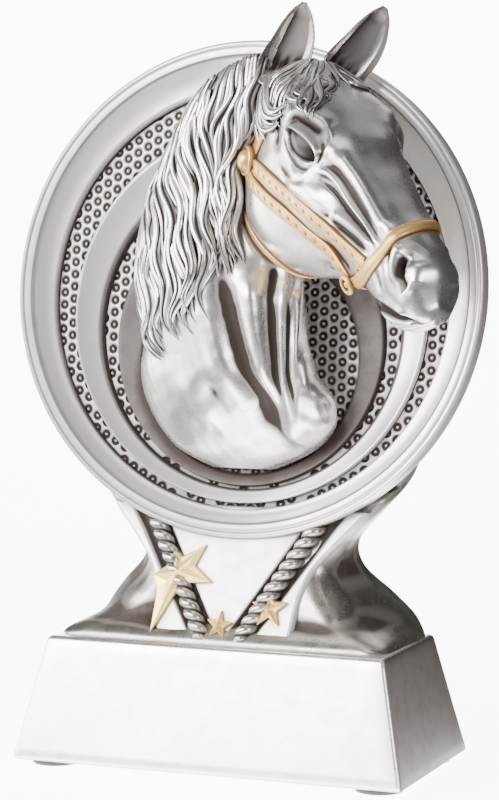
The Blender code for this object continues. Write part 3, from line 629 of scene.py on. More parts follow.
def ramp(start, end, first, count, bulge):
    """Rings from one share, drop and depth to another, bulging a little on the way."""
    start, way = np.array(start), np.array(end) - np.array(start)
    t = np.linspace(first, 1, count)[:, None]
    bent = t + np.array([0, 0, bulge]) * np.sin(math.pi * t)
    return (start + way * bent).tolist()


def band(outer, inner, edge, fall, floor):
    """Rings down from an edge to a sunk floor and up again at its inner side."""
    floor, step = floor + BAND_SUNK, 0.004
    (a, da), (b, db) = outer, inner
    return [(a - 0.001, da, edge + 0.12), (a - step, da, edge + fall), (a - step, da, floor),
            (b + step, db, floor), (b + step, db, edge + fall), (b + 0.001, db, edge + 0.12)]


def dish_profile():
    """Rings from the back round the rim and down the steps: share, drop and depth."""
    a, b, c, d, e = zip(STEP_SHARE, STEP_DROP)
    back = [(s, 0, DISH_THICKNESS - z) for s, z in
            pairs(0.60, -0.1, 0.74, 0.0, 0.80, 0.35, 0.86, 0.95, 0.91, 1.9, 0.95, 3.1)]
    wall = [(s, 0, DISH_WALL + z) for s, z in pairs(0.978, 1.9, 0.993, 0.7, 1.0, -0.4)]
    lip = [(s, 0, z) for s, z in
           pairs(1.0, 2.2, 1.0, 0.9, 0.9985, 0.45, 0.994, 0.12, 0.988, 0.0, 0.982, 0.0, 0.979, 0.10,
                 0.976, 0.22, 0.973, 0.10, 0.970, 0.02, 0.958, 0.06, 0.948, 0.10, 0.944, 0.13,
                 0.941, 0.30, 0.938, 0.36, 0.936, 0.50, 0.9345, 0.78, LIP_SHARE, LIP_FOOT)]
    slope = ramp((LIP_SHARE, 0, LIP_FOOT), (*a, LIP_FALL), 0.12, 10, 0.18)
    ring = ramp((*b, LIP_FALL), (*c, RING_FALL), 0, 12, 0.12)
    ledge = ramp((*d, RING_FALL), (*e, INNER_LEDGE), 0, 10, 0.0)
    last = band(e, (0.05, e[1]), INNER_LEDGE, 0.4, LAST_FLOOR)[:3]
    last.append((0.05, e[1], LAST_FLOOR + BAND_SUNK))
    return (back + wall + lip + slope + band(a, b, LIP_FALL, 0.45, FIRST_FLOOR) + ring
            + band(c, d, RING_FALL, 0.4, SECOND_FLOOR) + ledge + last)


def build_dish():
    turn = circle(360)
    grid = np.array([dish_points(s, d, z, turn) for s, d, z in dish_profile()])
    wander = waves(grid, 15.0, 11) * 0.06
    grid = grid + dish_frame()[3] * wander[..., None]
    wash_and_shade = np.full(grid.shape[:2], EVEN)
    # The rings deep in the dish and two grooves by the lip take more dark wash
    for k, (share, drop, depth) in enumerate(dish_profile()):
        if depth > FIRST_FLOOR + 0.1 and share < 0.86 and drop > 0:
            wash_and_shade[k] = 0.85
        if drop == 0 and 0.937 < share < 0.945 or abs(share - 0.976) < 0.001:
            wash_and_shade[k] = 0.80
    # Painted shade on the left of the dish's even ground, and a painted highlight on its right
    even = np.abs(wash_and_shade - EVEN) < 0.01
    leftward = -np.cos(turn - 0.35)
    wash_and_shade = wash_and_shade + (0.27 * np.sqrt(np.clip(leftward, 0, 1)) - 0.25 * np.clip(-leftward, 0, 1)) * even
    make_grid("dish", grid, SMOOTH_SILVER, wash_and_shade)


def dotted_floor(name, outer, inner, depth, rows, sides):
    """A floor between two rings, with staggered columns of ring-shaped dots sunk in it."""
    turn = circle(sides)
    t = np.linspace(0, 1, rows)[:, None]
    share = outer[0] * (1 - t) + inner[0] * t + 0 * turn
    drop = outer[1] * (1 - t) + inner[1] * t + 0 * turn
    across = share * DISH_RADIUS * np.cos(turn)
    rise = share * DISH_RADIUS * np.sin(turn) - drop * DISH_RADIUS
    column = np.round(across / DOT_COLUMN)
    shift = (column % 2) * DOT_PITCH / 2
    row = np.round((rise - shift) / DOT_PITCH)
    dot_x, dot_z = column * DOT_COLUMN, row * DOT_PITCH + shift
    gap = np.hypot(across - dot_x, rise - dot_z)
    inside = np.ones_like(gap, bool)
    for ring, sign in ((outer, 1), (inner, -1)):
        edge = np.hypot(dot_x, dot_z + ring[1] * DISH_RADIUS)
        inside &= sign * (ring[0] * DISH_RADIUS - edge) > -0.25
    groove = np.exp(-((gap - DOT_RADIUS) / 0.27) ** 2) * inside
    fall = depth + DOT_DEPTH * groove - 0.10 * np.exp(-((gap / 0.3) ** 2)) * inside
    top = dish_points(share, drop, fall, turn)
    low_outer = dish_points(outer[0] + 0.004, outer[1], depth + 1.2, turn)
    low_inner = dish_points(inner[0] - 0.004, inner[1], depth + 1.2, turn)
    grid = np.concatenate([top, low_inner[None], low_outer[None], top[:1]])
    wash_and_shade = 0.60 + 0.40 * groove - 0.14 * np.exp(-((gap / 0.25) ** 2)) * inside
    # Dark wash and painted shade along both edges of each floor, in the corners beside the step walls
    border = np.minimum(share * 0 + t, 1 - t) * (outer[0] - inner[0]) * DISH_RADIUS
    wash_and_shade = np.maximum(wash_and_shade, 0.92 - 0.42 * ease(0.0, 0.7, border))
    verts = grid[:-1].reshape(-1, 3)
    last = (rows + 1) * sides
    i = np.arange(sides)
    closing = np.stack([last + i, last + (i + 1) % sides, (i + 1) % sides, i], -1)
    faces = np.concatenate([grid_faces(rows + 2, sides), closing])
    a, b, c = (verts[faces[:, k]] for k in range(3))
    facing = (np.cross(b - a, c - a)[:1000] @ dish_frame()[3]).mean()
    if facing > 0:
        faces = faces[:, ::-1]
    wash_and_shade = np.concatenate([wash_and_shade.reshape(-1), np.full(2 * sides, 0.6)])
    make_mesh(name, verts, faces.tolist(), SMOOTH_SILVER, wash_and_shade)


def build_floors():
    """Each floor reaches a little under the steps beside it."""
    tuck = 0.003
    steps = list(zip(STEP_SHARE, STEP_DROP))
    floors = (("dotted_band_outer", steps[0], steps[1], FIRST_FLOOR, 42, 1150),
              ("dotted_band_inner", steps[2], steps[3], SECOND_FLOOR, 34, 900),
              ("dotted_floor", steps[4], (0.20 - tuck, steps[4][1]), LAST_FLOOR, 62, 660))
    for name, (outer, outer_drop), (inner, inner_drop), depth, rows, sides in floors:
        dotted_floor(name, (outer - tuck, outer_drop), (inner + tuck, inner_drop), depth, rows, sides)


# Head

# Lines down the head from ridge to keel: their places, then each one's rise and half-width there
RIDGE_PLACES = (-0.06, 0.0, 0.1, 0.25, 0.4, 0.55, 0.7, 0.82, 0.9, 0.96, 1.0)
LINE_PLACES = (-0.06, 0.0, 0.15, 0.3, 0.42, 0.55, 0.7, 0.82, 0.9, 0.96, 1.0)
LINE_RISES = (
    (-0.045, 0.014, 0.026, 0.024, 0.002, -0.02, -0.038, -0.048, -0.062, -0.092, -0.15),
    (-0.085, -0.035, 0.0, -0.006, -0.024, -0.042, -0.062, -0.068, -0.08, -0.112, -0.16),
    (-0.14, -0.095, -0.055, -0.048, -0.085, -0.108, -0.11, -0.108, -0.114, -0.14, -0.175),
    (-0.23, -0.21, -0.18, -0.18, -0.188, -0.185, -0.168, -0.158, -0.162, -0.175, -0.19),
    (-0.33, -0.32, -0.33, -0.34, -0.315, -0.268, -0.236, -0.218, -0.208, -0.205, -0.205),
    (-0.385, -0.405, -0.452, -0.466, -0.426, -0.352, -0.296, -0.285, -0.284, -0.25, -0.217),
    (-0.395, -0.425, -0.474, -0.486, -0.442, -0.366, -0.308, -0.3, -0.302, -0.268, -0.225),
)
LINE_HALVES = (
    (0.0, 0.0, 0.0, 0.0, 0.0, 0.0, 0.0, 0.0, 0.0, 0.0, 0.0),
    (0.075, 0.1, 0.128, 0.138, 0.104, 0.086, 0.076, 0.066, 0.058, 0.046, 0.025),
    (0.09, 0.125, 0.158, 0.176, 0.134, 0.108, 0.09, 0.086, 0.096, 0.08, 0.045),
    (0.095, 0.128, 0.158, 0.162, 0.154, 0.13, 0.102, 0.09, 0.095, 0.083, 0.05),
    (0.08, 0.124, 0.148, 0.142, 0.118, 0.092, 0.082, 0.08, 0.084, 0.072, 0.045),
    (0.05, 0.08, 0.098, 0.088, 0.07, 0.054, 0.05, 0.054, 0.055, 0.045, 0.028),
    (0.0, 0.0, 0.0, 0.0, 0.0, 0.0, 0.0, 0.0, 0.0, 0.0, 0.0),
)
HEAD_LINES = [np.column_stack([LINE_PLACES if k else RIDGE_PLACES, rises, halves])
              for k, (rises, halves) in enumerate(zip(LINE_RISES, LINE_HALVES))]


def head_frame():
    nose = unit(NOSE_WAY)
    left = np.asarray(LEFT_WAY) - nose * np.dot(nose, LEFT_WAY)
    left = unit(left)
    return np.asarray(POLL), nose, left, np.cross(nose, left)


def head_to_mm(local):
    poll, nose, left, crown = head_frame()
    local = np.asarray(local, float) * HEAD_LENGTH
    return (poll + local[..., 0:1] * nose + local[..., 1:2] * HEAD_WIDTH_SHARE * left
            + local[..., 2:3] * HEAD_DEPTH_SHARE * crown)


def head_form(x, line):
    """Places on the plain head in millimetres.

    x runs from poll to muzzle. line runs round the head: 0 is the ridge, 1 to 5 the lines
    down the near side, 6 the keel and 7 to 11 the same lines up the far side.
    """
    x, line = np.broadcast_arrays(np.asarray(x, float), np.asarray(line, float))
    rows = [through(knots, x) for knots in HEAD_LINES]
    near = [np.stack([-row[..., 1], row[..., 0]], -1) for row in rows]
    far = [np.stack([row[..., 1], row[..., 0]], -1) for row in rows[5:0:-1]]
    cage = np.stack(near + far, -2)
    count = cage.shape[-2]
    k = np.floor(line).astype(int)
    t = (line - k)[..., None]

    def corner(step):
        return np.take_along_axis(cage, ((k + step) % count)[..., None, None], axis=-2)[..., 0, :]

    p0, p1, p2, p3 = corner(-1), corner(0), corner(1), corner(2)
    curve = 0.5 * (2 * p1 + (p2 - p0) * t + (2 * p0 - 5 * p1 + 4 * p2 - p3) * t**2
                   + (3 * p1 - p0 - 3 * p2 + p3) * t**3)
    return head_to_mm(np.concatenate([x[..., None], curve], -1))


def head_out(x, line):
    step = 0.004
    along = head_form(np.minimum(x + step, 1.0), line) - head_form(np.maximum(x - step, -0.06), line)
    around = head_form(x, line + step * 5) - head_form(x, line - step * 5)
    return unit(np.cross(around, along))


def stroke(points, path, width, height, taper=0.25):
    """Push along a path: a soft ridge where height is above 0 and a groove where it is below."""
    push = np.zeros(points.shape[:-1])
    low, high = path.min(0) - 3 * width, path.max(0) + 3 * width
    near = np.all((points > low) & (points < high), axis=-1)
    if not near.any():
        return push
    spots = points[near]
    best = np.full(len(spots), 1e9)
    where = np.zeros(len(spots))
    count = len(path) - 1
    for k in range(count):
        a, way = path[k], path[k + 1] - path[k]
        t = np.clip(((spots - a) @ way) / max(way @ way, 1e-9), 0, 1)
        gap = ((spots - a - t[:, None] * way) ** 2).sum(-1)
        closer = gap < best
        best = np.where(closer, gap, best)
        where = np.where(closer, (k + t) / count, where)
    ends = ease(0, max(taper, 1e-3), where) * ease(0, max(taper, 1e-3), 1 - where)
    ends = 0.15 + 0.85 * ends if taper > 0 else np.ones_like(where)
    push[near] = height * ends * np.exp(-best / width**2)
    return push


def mound(points, centre, width, height):
    gap = ((points - centre) ** 2).sum(-1)
    return height * np.exp(-gap / width**2)


# Carving on the near side, as places along the head and round it: route, width, height, taper.
EYE_CENTRE = (0.328, 2.20)
HEAD_STROKES = (
    # Eye: fold over the upper lid, brow, bags under the lower lid and wrinkles
    (pairs(0.222, 2.2, 0.252, 1.62, 0.29, 1.2, 0.332, 1.02, 0.372, 1.1), 0.75, -0.5, 0.3),
    (pairs(0.215, 1.7, 0.258, 1.05, 0.305, 0.78, 0.35, 0.78), 1.6, 0.65, 0.3),
    (pairs(0.24, 3.05, 0.3, 3.02, 0.36, 2.86, 0.415, 2.55), 0.7, -0.35, 0.3),
    (pairs(0.31, 0.72, 0.352, 0.8, 0.39, 0.98, 0.408, 1.35, 0.424, 1.85), 0.6, 0.26, 0.3),
    # Cheekbone under the eye, the bone of the nose and the folds between them
    (pairs(0.29, 3.14, 0.35, 3.0, 0.41, 2.84, 0.47, 2.66, 0.53, 2.5), 2.5, 1.0, 0.3),
    (pairs(0.5, 3.02, 0.53, 2.8, 0.56, 2.5), 0.9, -0.3, 0.3),
    (pairs(0.414, 2.17, 0.451, 1.92, 0.502, 1.82, 0.568, 1.9, 0.65, 2.0, 0.722, 2.15, 0.775, 2.42), 0.5,
          0.62, 0.15),
    (pairs(0.445, 2.28, 0.5, 2.14, 0.56, 2.16, 0.634, 2.24, 0.708, 2.34, 0.752, 2.5), 0.5, -0.42, 0.25),
    (pairs(0.425, 1.72, 0.48, 1.52, 0.55, 1.48, 0.64, 1.62, 0.72, 1.86), 1.25, -0.55, 0.25),
    (pairs(0.425, 1.12, 0.478, 1.1, 0.531, 1.08, 0.595, 1.1, 0.669, 1.15, 0.724, 1.27, 0.77, 1.42), 1.35,
          0.8, 0.15),
    (pairs(0.52, 2.72, 0.573, 2.58, 0.642, 2.52, 0.706, 2.56, 0.75, 2.62), 1.05, 0.55, 0.25),
    (pairs(0.53, 2.94, 0.584, 2.92, 0.632, 2.94, 0.682, 2.98, 0.73, 3.02), 0.7, -0.85, 0.25),
    # Temple, jaw and cheek
    (pairs(0.12, 2.15, 0.17, 2.55, 0.2, 3.0), 2.0, -0.5, 0.3),
    (pairs(0.47, 3.9, 0.54, 4.05, 0.6, 4.35, 0.64, 4.7), 1.2, -0.45, 0.3),
    (pairs(0.49, 4.65, 0.56, 4.85, 0.62, 5.05), 1.3, -0.4, 0.3),
    # Nostril with its rim, and the folds of the lips
    (pairs(0.872, 1.25, 0.88, 1.6, 0.896, 2.02, 0.922, 2.28, 0.952, 2.15), 1.25, -2.1, 0.1),
    (pairs(0.882, 1.5, 0.894, 1.9, 0.914, 2.12), 0.95, -1.7, 0.2),
    (pairs(0.846, 1.1, 0.838, 1.5, 0.854, 2.05, 0.884, 2.62, 0.936, 2.72), 0.95, 0.62, 0.25),
    (pairs(0.905, 0.85, 0.94, 1.15, 0.965, 1.6), 1.8, 0.45, 0.3),
    (pairs(0.8, 1.8, 0.832, 2.4, 0.87, 2.95, 0.93, 3.05), 0.9, -0.4, 0.3),
    (pairs(0.805, 2.45, 0.85, 3.05, 0.89, 3.55), 0.9, 0.35, 0.3),
    (pairs(0.786, 4.95, 0.83, 4.7, 0.88, 4.5, 0.934, 4.45, 0.975, 4.6, 1.0, 5.2), 0.5, -1.25, 0.08),
    (pairs(0.8, 4.6, 0.86, 4.28, 0.92, 4.18, 0.97, 4.25), 0.75, 0.5, 0.2),
    (pairs(0.815, 5.02, 0.87, 4.8, 0.93, 4.74, 0.985, 4.9), 0.55, 0.55, 0.15),
    (pairs(0.825, 5.25, 0.88, 5.02, 0.94, 4.98, 0.985, 5.2), 0.45, -0.55, 0.2),
    (pairs(0.77, 3.3, 0.8, 3.8, 0.835, 4.15), 1.1, -0.35, 0.4),
)
HEAD_MOUNDS = (
    ((0.150, 4.35), 8.0, 1.9),
    ((0.230, 4.40), 7.0, 0.9),
    ((0.400, 0.45), 4.0, 0.55),
    ((0.930, 0.70), 3.5, 0.35),
)


# Where dark wash lies in the nostril, mouth and creases, and painted shade round the eye, over the face,
# under the muzzle and under the jaw, on the near side: route, width, depth of tone
HEAD_WASH_AND_SHADE = (
    (pairs(0.872, 1.3, 0.882, 1.65, 0.898, 2.05, 0.922, 2.28), 1.3, 0.55),
    (pairs(0.235, 2.45, 0.255, 1.75, 0.292, 1.22, 0.345, 1.02, 0.378, 1.25), 1.4, 0.3),
    (pairs(0.262, 2.5, 0.328, 2.2, 0.39, 1.95), 2.9, 0.34),
    (pairs(0.786, 4.95, 0.83, 4.7, 0.88, 4.5, 0.934, 4.45, 0.975, 4.6), 0.9, 0.45),
    (pairs(0.53, 2.94, 0.584, 2.92, 0.632, 2.94, 0.682, 2.98, 0.73, 3.02), 1.0, 0.35),
    (pairs(0.5, 2.3, 0.58, 2.3, 0.66, 2.4, 0.74, 2.6), 1.5, 0.18),
    (pairs(0.83, 3.3, 0.89, 3.55, 0.95, 3.7), 4.2, 0.16),
    (pairs(0.62, 5.4, 0.7, 5.2, 0.79, 5.3, 0.88, 5.4), 3.0, 0.35),
    (pairs(0.4, 0.3, 0.52, 0.35, 0.64, 0.4, 0.74, 0.45), 3.5, 0.07),
    (pairs(0.862, 0.4, 0.88, 0.9), 2.4, 0.22),
)


def head_wash_and_shade(points):
    tone = np.zeros(points.shape[:-1])
    for route, width, depth in HEAD_WASH_AND_SHADE:
        places = along_route(route, 6 * len(route))
        tone += stroke(points, head_form(places[:, 0], places[:, 1]), width, depth, 0.3)
    return tone


def eye_axes(side):
    """Middle of an eye on the plain head, with its outward, forward and upward ways."""
    x = np.array([EYE_CENTRE[0]])
    line = np.array([EYE_CENTRE[1] if side == NEAR else 12 - EYE_CENTRE[1]])
    spot, out = head_form(x, line)[0], head_out(x, line)[0]
    brow = head_form(x, line + 0.5 * side)[0] - spot
    ahead = head_form(x + 0.05, line)[0] - spot
    ahead = unit(ahead - out * np.dot(out, ahead))
    up = brow - out * np.dot(out, brow)
    up = unit(up - ahead * np.dot(ahead, up))
    return spot, out, ahead, up


EYE_HALF = 4.7
LID_RISE = 2.0
LID_DROP = 1.8
EYE_SUNK = 2.0
EYE_REACH = 12.0


def carve_eye(points, side):
    """Sink an almond between two lids; its front corner is the higher one."""
    spot, _, ahead, up = eye_axes(side)
    apart = points - spot
    near = (apart**2).sum(-1) < EYE_REACH**2
    u = (apart @ ahead) / EYE_HALF
    v = apart @ up - 0.24 * (apart @ ahead)
    bow = np.sqrt(np.clip(1 - u**2, 0, 1))
    over = v - LID_RISE * bow * (1 - 0.18 * u)
    under = -LID_DROP * bow * (1 + 0.10 * u) - v
    gap = np.maximum(over, under) + 3.0 * np.clip(np.abs(u) - 1, 0, 1) * EYE_HALF
    push = -EYE_SUNK * ease(0.25, -0.55, gap)
    upper = ease(-0.6, 0.6, v)
    lid = np.exp(-(((gap - 0.55) / 0.62) ** 2))
    push += lid * (0.15 + 0.75 * upper) * (1 - ease(1.0, 1.35, np.abs(u)))
    push -= 0.35 * np.exp(-(((gap - 2.1) / 0.8) ** 2)) * (1 - ease(0.9, 1.4, np.abs(u)))
    return np.where(near, push, 0.0)


def carve_head(points):
    """How far the carving pushes each place of the head out, on both sides."""
    push = np.zeros(points.shape[:-1])
    for side in (NEAR, FAR):
        for route, width, height, taper in HEAD_STROKES:
            if side == FAR:
                height = height * FAR_CARVING
            places = along_route(route, 6 * len(route))
            line = places[:, 1] if side == NEAR else 12 - places[:, 1]
            push += stroke(points, head_form(places[:, 0], line), width, height, taper)
        push += carve_eye(points, side) * (1.0 if side == NEAR else FAR_EYE)
        for (x, line), width, height in HEAD_MOUNDS:
            spot = head_form(np.array([x]), np.array([line if side == NEAR else 12 - line]))[0]
            push += mound(points, spot, width, height)
    # A shallow trough down the middle of the nose, between its two edges
    route = along_route(pairs(0.40, 0.0, 0.55, 0.0, 0.70, 0.0, 0.80, 0.0), 24)
    push += stroke(points, head_form(route[:, 0], route[:, 1]), 2.4, -0.35, 0.3)
    push += waves(points, 8.0, 21) * 0.05
    return push


def carved_head(x, line):
    place = head_form(x, line)
    out = head_out(x, line)
    return place + carve_head(place)[..., None] * out, out


def build_head():
    rows, sides = HEAD_ROWS, HEAD_SIDES
    spread = np.linspace(0, 1, rows)[:, None]
    x = 1.0 - 1.06 * (1.0 - spread) ** 1.12
    line = np.linspace(0, 12, sides, endpoint=False)[None, :]
    line = (line - 0.35 * np.sin(line * math.pi / 6)) % 12
    order = np.argsort(line[0])
    line = line[:, order]
    grid, _ = carved_head(np.broadcast_to(x, (rows, sides)), np.broadcast_to(line, (rows, sides)))
    nose = head_frame()[1]
    end, middle = grid[-1], grid[-1].mean(0)
    caps = [middle + (end - middle) * s + nose * h for s, h in ((0.85, 0.35), (0.6, 0.75), (0.3, 0.95))]
    start = grid[0]
    back = start.mean(0) + (start - start.mean(0)) * 0.75 - nose * 2.0
    wash_and_shade = hollow_of(grid, (2, 5, 9), 0.036)
    # Painted shade and dark wash from the table above deepen the shape's own hollows
    tone = head_wash_and_shade(head_form(np.broadcast_to(x, (rows, sides)), np.broadcast_to(line, (rows, sides))))
    deeper = np.maximum(wash_and_shade, 0.54 + tone) - wash_and_shade
    wash_and_shade = np.clip(wash_and_shade + np.clip(tone / 0.10, 0, 1) * deeper, 0, 1)
    full = np.concatenate([back[None], grid, np.array(caps)])
    wash_and_shade = np.concatenate([wash_and_shade[:1], wash_and_shade, np.repeat(wash_and_shade[-1:], 3, 0)])
    make_grid("horse_head", full, SILVER, wash_and_shade)


def build_eyes():
    """A glossy ball under each pair of lids, painted nearly black as dark wash and painted shade."""
    balls = []
    for side in (NEAR, FAR):
        spot, out, ahead, up = eye_axes(side)
        polar = np.linspace(0.02, math.pi - 0.02, 40)[:, None, None]
        turn = circle(48)[None, :, None]
        round_way = np.cos(turn) * ahead * 5.0 + np.sin(turn) * up * 3.5
        ball = spot - out * 3.05 + np.cos(polar) * out * 3.1 + np.sin(polar) * round_way
        balls.append((ball, np.full((40, 48), 0.72)))
    make_bundle("horse_eyes", balls, EYE_LOOK)


# Halter: name, width, proud height, route, whether the far side has it too, whether it is dotted
HALTER = (
    ("cheek_strap", 3.0, 0.62, pairs(0.04, 1.9, 0.085, 2.35, 0.094, 2.65, 0.082, 3.02, 0.076, 3.4, 0.067,
          3.72), True, False),
    ("upper_strap", 3.3, 0.66, pairs(0.067, 3.72, 0.131, 3.56, 0.224, 3.44, 0.316, 3.34, 0.383, 3.28,
          0.443, 3.25, 0.489, 3.28, 0.547, 3.33, 0.592, 3.41, 0.642, 3.49, 0.7, 3.56, 0.735, 3.58), False,
          True),
    ("lower_strap", 2.9, 0.6, pairs(0.067, 3.8, 0.136, 3.8, 0.213, 3.74, 0.3, 3.68, 0.364, 3.7, 0.425,
          3.78, 0.478, 3.94, 0.53, 4.2, 0.572, 4.52, 0.604, 4.84, 0.634, 5.15), True, True),
    ("throat_strap", 2.6, 0.75, pairs(0.067, 3.75, 0.05, 3.98, 0.044, 4.18, 0.062, 4.4, 0.104, 4.57,
          0.154, 4.67, 0.2, 4.75, 0.245, 4.85, 0.287, 4.98, 0.325, 5.2, 0.35, 5.6, 0.355, 6.0), True,
          False),
    ("noseband", 2.7, 0.85, pairs(0.634, 5.15, 0.68, 4.75, 0.718, 4.25, 0.752, 3.58, 0.782, 2.8, 0.797,
          1.9, 0.801, 1.12, 0.799, 0.5, 0.792, 0.0, 0.778, -0.5, 0.757, -1.12, 0.737, -1.9, 0.716, -2.8,
          0.7, -3.58, 0.682, -4.25, 0.66, -4.75, 0.634, -5.15), False, False),
    ("chin_strap", 1.7, 0.6, pairs(0.634, 5.15, 0.655, 5.5, 0.662, 6.0), True, False),
)


def strap_grid(route, width, proud, side, dotted):
    """A ribbon that follows the head's carving, and its wash-and-shade values."""
    places = along_route(route, 160 if len(route) > 4 else 80)
    line = places[:, 1] if side == NEAR else 12 - places[:, 1]
    spots, out = carved_head(places[:, 0], line)
    plain = head_form(places[:, 0], line)
    lift = blur_rows(((spots - plain) * out).sum(-1), 12)
    spots = plain + out * lift[:, None]
    way = unit(np.gradient(spots, axis=0))
    across = unit(np.cross(out, way))
    profile = pairs(-1.0, -2.2, -1.0, 0.15, -0.96, 0.62, -0.84, 0.90, -0.66, 0.98, -0.60, 0.86, -0.52, 0.98,
                    -0.25, 1.04, 0.0, 1.06, 0.25, 1.04, 0.52, 0.98, 0.60, 0.86, 0.66, 0.98, 0.84, 0.90,
                    0.96, 0.62, 1.0, 0.15, 1.0, -2.2)
    shade = [0.9, 0.9, 0.62, 0.42, 0.42, 0.72, 0.46, 0.42, 0.42, 0.42, 0.46, 0.72, 0.42, 0.42, 0.62, 0.9, 0.9]
    grid = np.stack([spots + across * width / 2 * a + out * proud * b for a, b in profile], 1)
    wash_and_shade = np.repeat(np.array(shade)[None], len(grid), 0)
    if dotted:
        travelled = np.concatenate([[0], np.cumsum(np.linalg.norm(np.diff(spots, axis=0), axis=1))])
        for at in np.arange(3.6, travelled[-1] - 2.0, 2.7):
            pit = np.exp(-((travelled - at) / 0.42) ** 2)[:, None]
            wide = np.array([math.exp(-((a * width / 2) / 0.42) ** 2) for a, _ in profile])[None]
            grid = grid - out[:, None] * (pit * wide * 0.35)[..., None]
            wash_and_shade = np.maximum(wash_and_shade, 0.45 + 0.55 * pit * wide)
    return grid, wash_and_shade


def build_halter():
    for name, width, proud, route, both, dotted in HALTER:
        sides = (NEAR, FAR) if both else (NEAR,)
        make_bundle(name, [strap_grid(route, width, proud, side, dotted) for side in sides], GOLD)


BOSS_SIDES = 48
BUTTON_SPOT = (0.077, 3.60)
RING_SPOT = (0.634, 5.10)
LOOP_SPOT = (0.712, 4.02)


def boss(spot, profile, stretch=(1.0, 1.0), turned=0.0, outward=0.0):
    """Rings round the skin's normal, turned outwards by a share: radius and height pairs."""
    x, line = np.array([spot[0]]), np.array([spot[1]])
    at, out = carved_head(x, line)
    at, out = at[0], unit(out[0] - outward * head_frame()[2])
    nose = unit(head_frame()[1] - out * np.dot(out, head_frame()[1]))
    third = np.cross(out, nose)
    turn = circle(BOSS_SIDES)[:, None]
    first = math.cos(turned) * nose + math.sin(turned) * third
    second = np.cross(out, first)
    ring = np.cos(turn) * first * stretch[0] + np.sin(turn) * second * stretch[1]
    return np.array([at + ring * r + out * h for r, h in profile])


def build_halter_fittings():
    dome = pairs(2.05, -1.0, 2.10, 0.55, 2.06, 0.85, 1.90, 1.02, 1.72, 0.98, 1.62, 0.88, 1.52, 0.98,
                 1.36, 1.32, 1.05, 1.66, 0.70, 1.86, 0.35, 1.95, 0.1, 1.97)
    shade = np.array([0.8, 0.7, 0.5, 0.4, 0.6, 0.85, 0.6, 0.45, 0.4, 0.38, 0.36, 0.36])[:, None]
    grid = boss(BUTTON_SPOT, dome * (1.12, 1.35) + (0.0, 0.25), (1.08, 1.28), 0.35, 0.5)
    make_grid("halter_button", grid, GOLD, np.repeat(shade, BOSS_SIDES, 1))
    pin = pairs(0.62, -0.6, 0.62, 1.75, 0.50, 1.98, 0.28, 2.10, 0.08, 2.12)
    parts = [(boss(RING_SPOT, pin, outward=1.4), np.full((5, BOSS_SIDES), 0.42))]
    minor = circle(16)
    ring = [(1.55 + 0.50 * math.cos(a), 1.75 + 0.50 * math.sin(a)) for a in minor]
    torus = np.swapaxes(boss(RING_SPOT, ring, outward=1.4), 0, 1)
    torus = np.concatenate([torus, torus[:1]])
    parts.append((torus, np.repeat((0.45 + 0.35 * (np.cos(minor) < -0.5))[None], len(torus), 0)))
    square = pairs(1.30, -0.6, 1.32, 0.62, 1.22, 0.88, 1.02, 0.95, 0.86, 0.86, 0.72, 0.55, 0.45, 0.50,
                   0.1, 0.50)
    loop = boss(LOOP_SPOT, square, (1.10, 0.85), 0.35)
    turn = circle(BOSS_SIDES)
    squared = 1.0 / (np.abs(np.cos(turn)) ** 5 + np.abs(np.sin(turn)) ** 5) ** 0.2
    middle = loop.mean(1, keepdims=True)
    shade = np.array([0.8, 0.7, 0.45, 0.4, 0.5, 0.9, 0.85, 0.8])[:, None]
    parts.append((middle + (loop - middle) * squared[None, :, None], np.repeat(shade, BOSS_SIDES, 1)))
    make_bundle("halter_ring_and_loop", parts, GOLD)


# Neck and chest

NECK_KNOTS = (
    (59.0, 6.0, 1.8, -6.0, 1.8, 2.0),
    (62.0, 13.0, 1.0, -13.0, 1.6, 3.6),
    (66.0, 18.6, 0.0, -17.4, 2.2, 5.8),
    (70.0, 21.2, -1.8, -20.0, 2.6, 7.4),
    (74.0, 21.4, -3.6, -21.6, 3.0, 8.6),
    (79.0, 17.9, -5.2, -21.8, 3.2, 9.8),
    (84.0, 16.8, -6.0, -20.8, 3.2, 10.2),
    (90.0, 16.0, -6.2, -20.2, 2.6, 10.4),
    (98.0, 15.2, -6.8, -20.3, 2.2, 9.6),
    (106.0, 15.4, -6.8, -19.4, 1.6, 8.2),
    (115.0, 17.0, -6.4, -17.6, 0.6, 6.6),
    (123.0, 18.0, -6.0, -14.3, -0.6, 5.6),
    (131.0, 16.5, -6.0, -10.6, -2.0, 5.0),
    (136.0, 13.5, -6.0, -6.0, -2.6, 4.4),
    (140.0, 9.5, -6.0, 1.0, -3.4, 3.4),
)
NECK_SUNK = 1.5


def neck_section(z, near_sides, far_sides):
    """Level ovals: the long axis runs from crest to throat, the far side back into the dish."""
    z = np.atleast_1d(z)
    rows = through(NECK_KNOTS, z)
    throat, crest, half = rows[:, 0:2], rows[:, 2:4], rows[:, 4:5]
    middle, reach = (throat + crest) / 2, (throat - crest) / 2
    long_way = unit(reach)
    near_way = np.stack([long_way[:, 1], -long_way[:, 0]], -1)
    turn = np.concatenate([np.linspace(0, math.pi, near_sides, endpoint=False),
                           np.linspace(math.pi, 2 * math.pi, far_sides, endpoint=False)])[None, :, None]
    cos, sin = np.cos(turn), np.sin(turn)
    near = np.clip(sin, 0, 1) ** 0.85
    far = np.clip(-sin, 0, 1)
    flat = middle[:, None] + cos * reach[:, None] * (1 - 0.35 * far**2)
    flat = flat + near * half[:, None] * near_way[:, None]
    floor = rim_plane_y(z) + LAST_FLOOR + NECK_SUNK
    into = np.stack([np.zeros_like(floor), np.maximum(floor - middle[:, 1], 0)], -1)
    flat = flat + far * into[:, None]
    return np.concatenate([flat, np.broadcast_to(z[:, None, None], flat.shape[:2] + (1,))], -1)


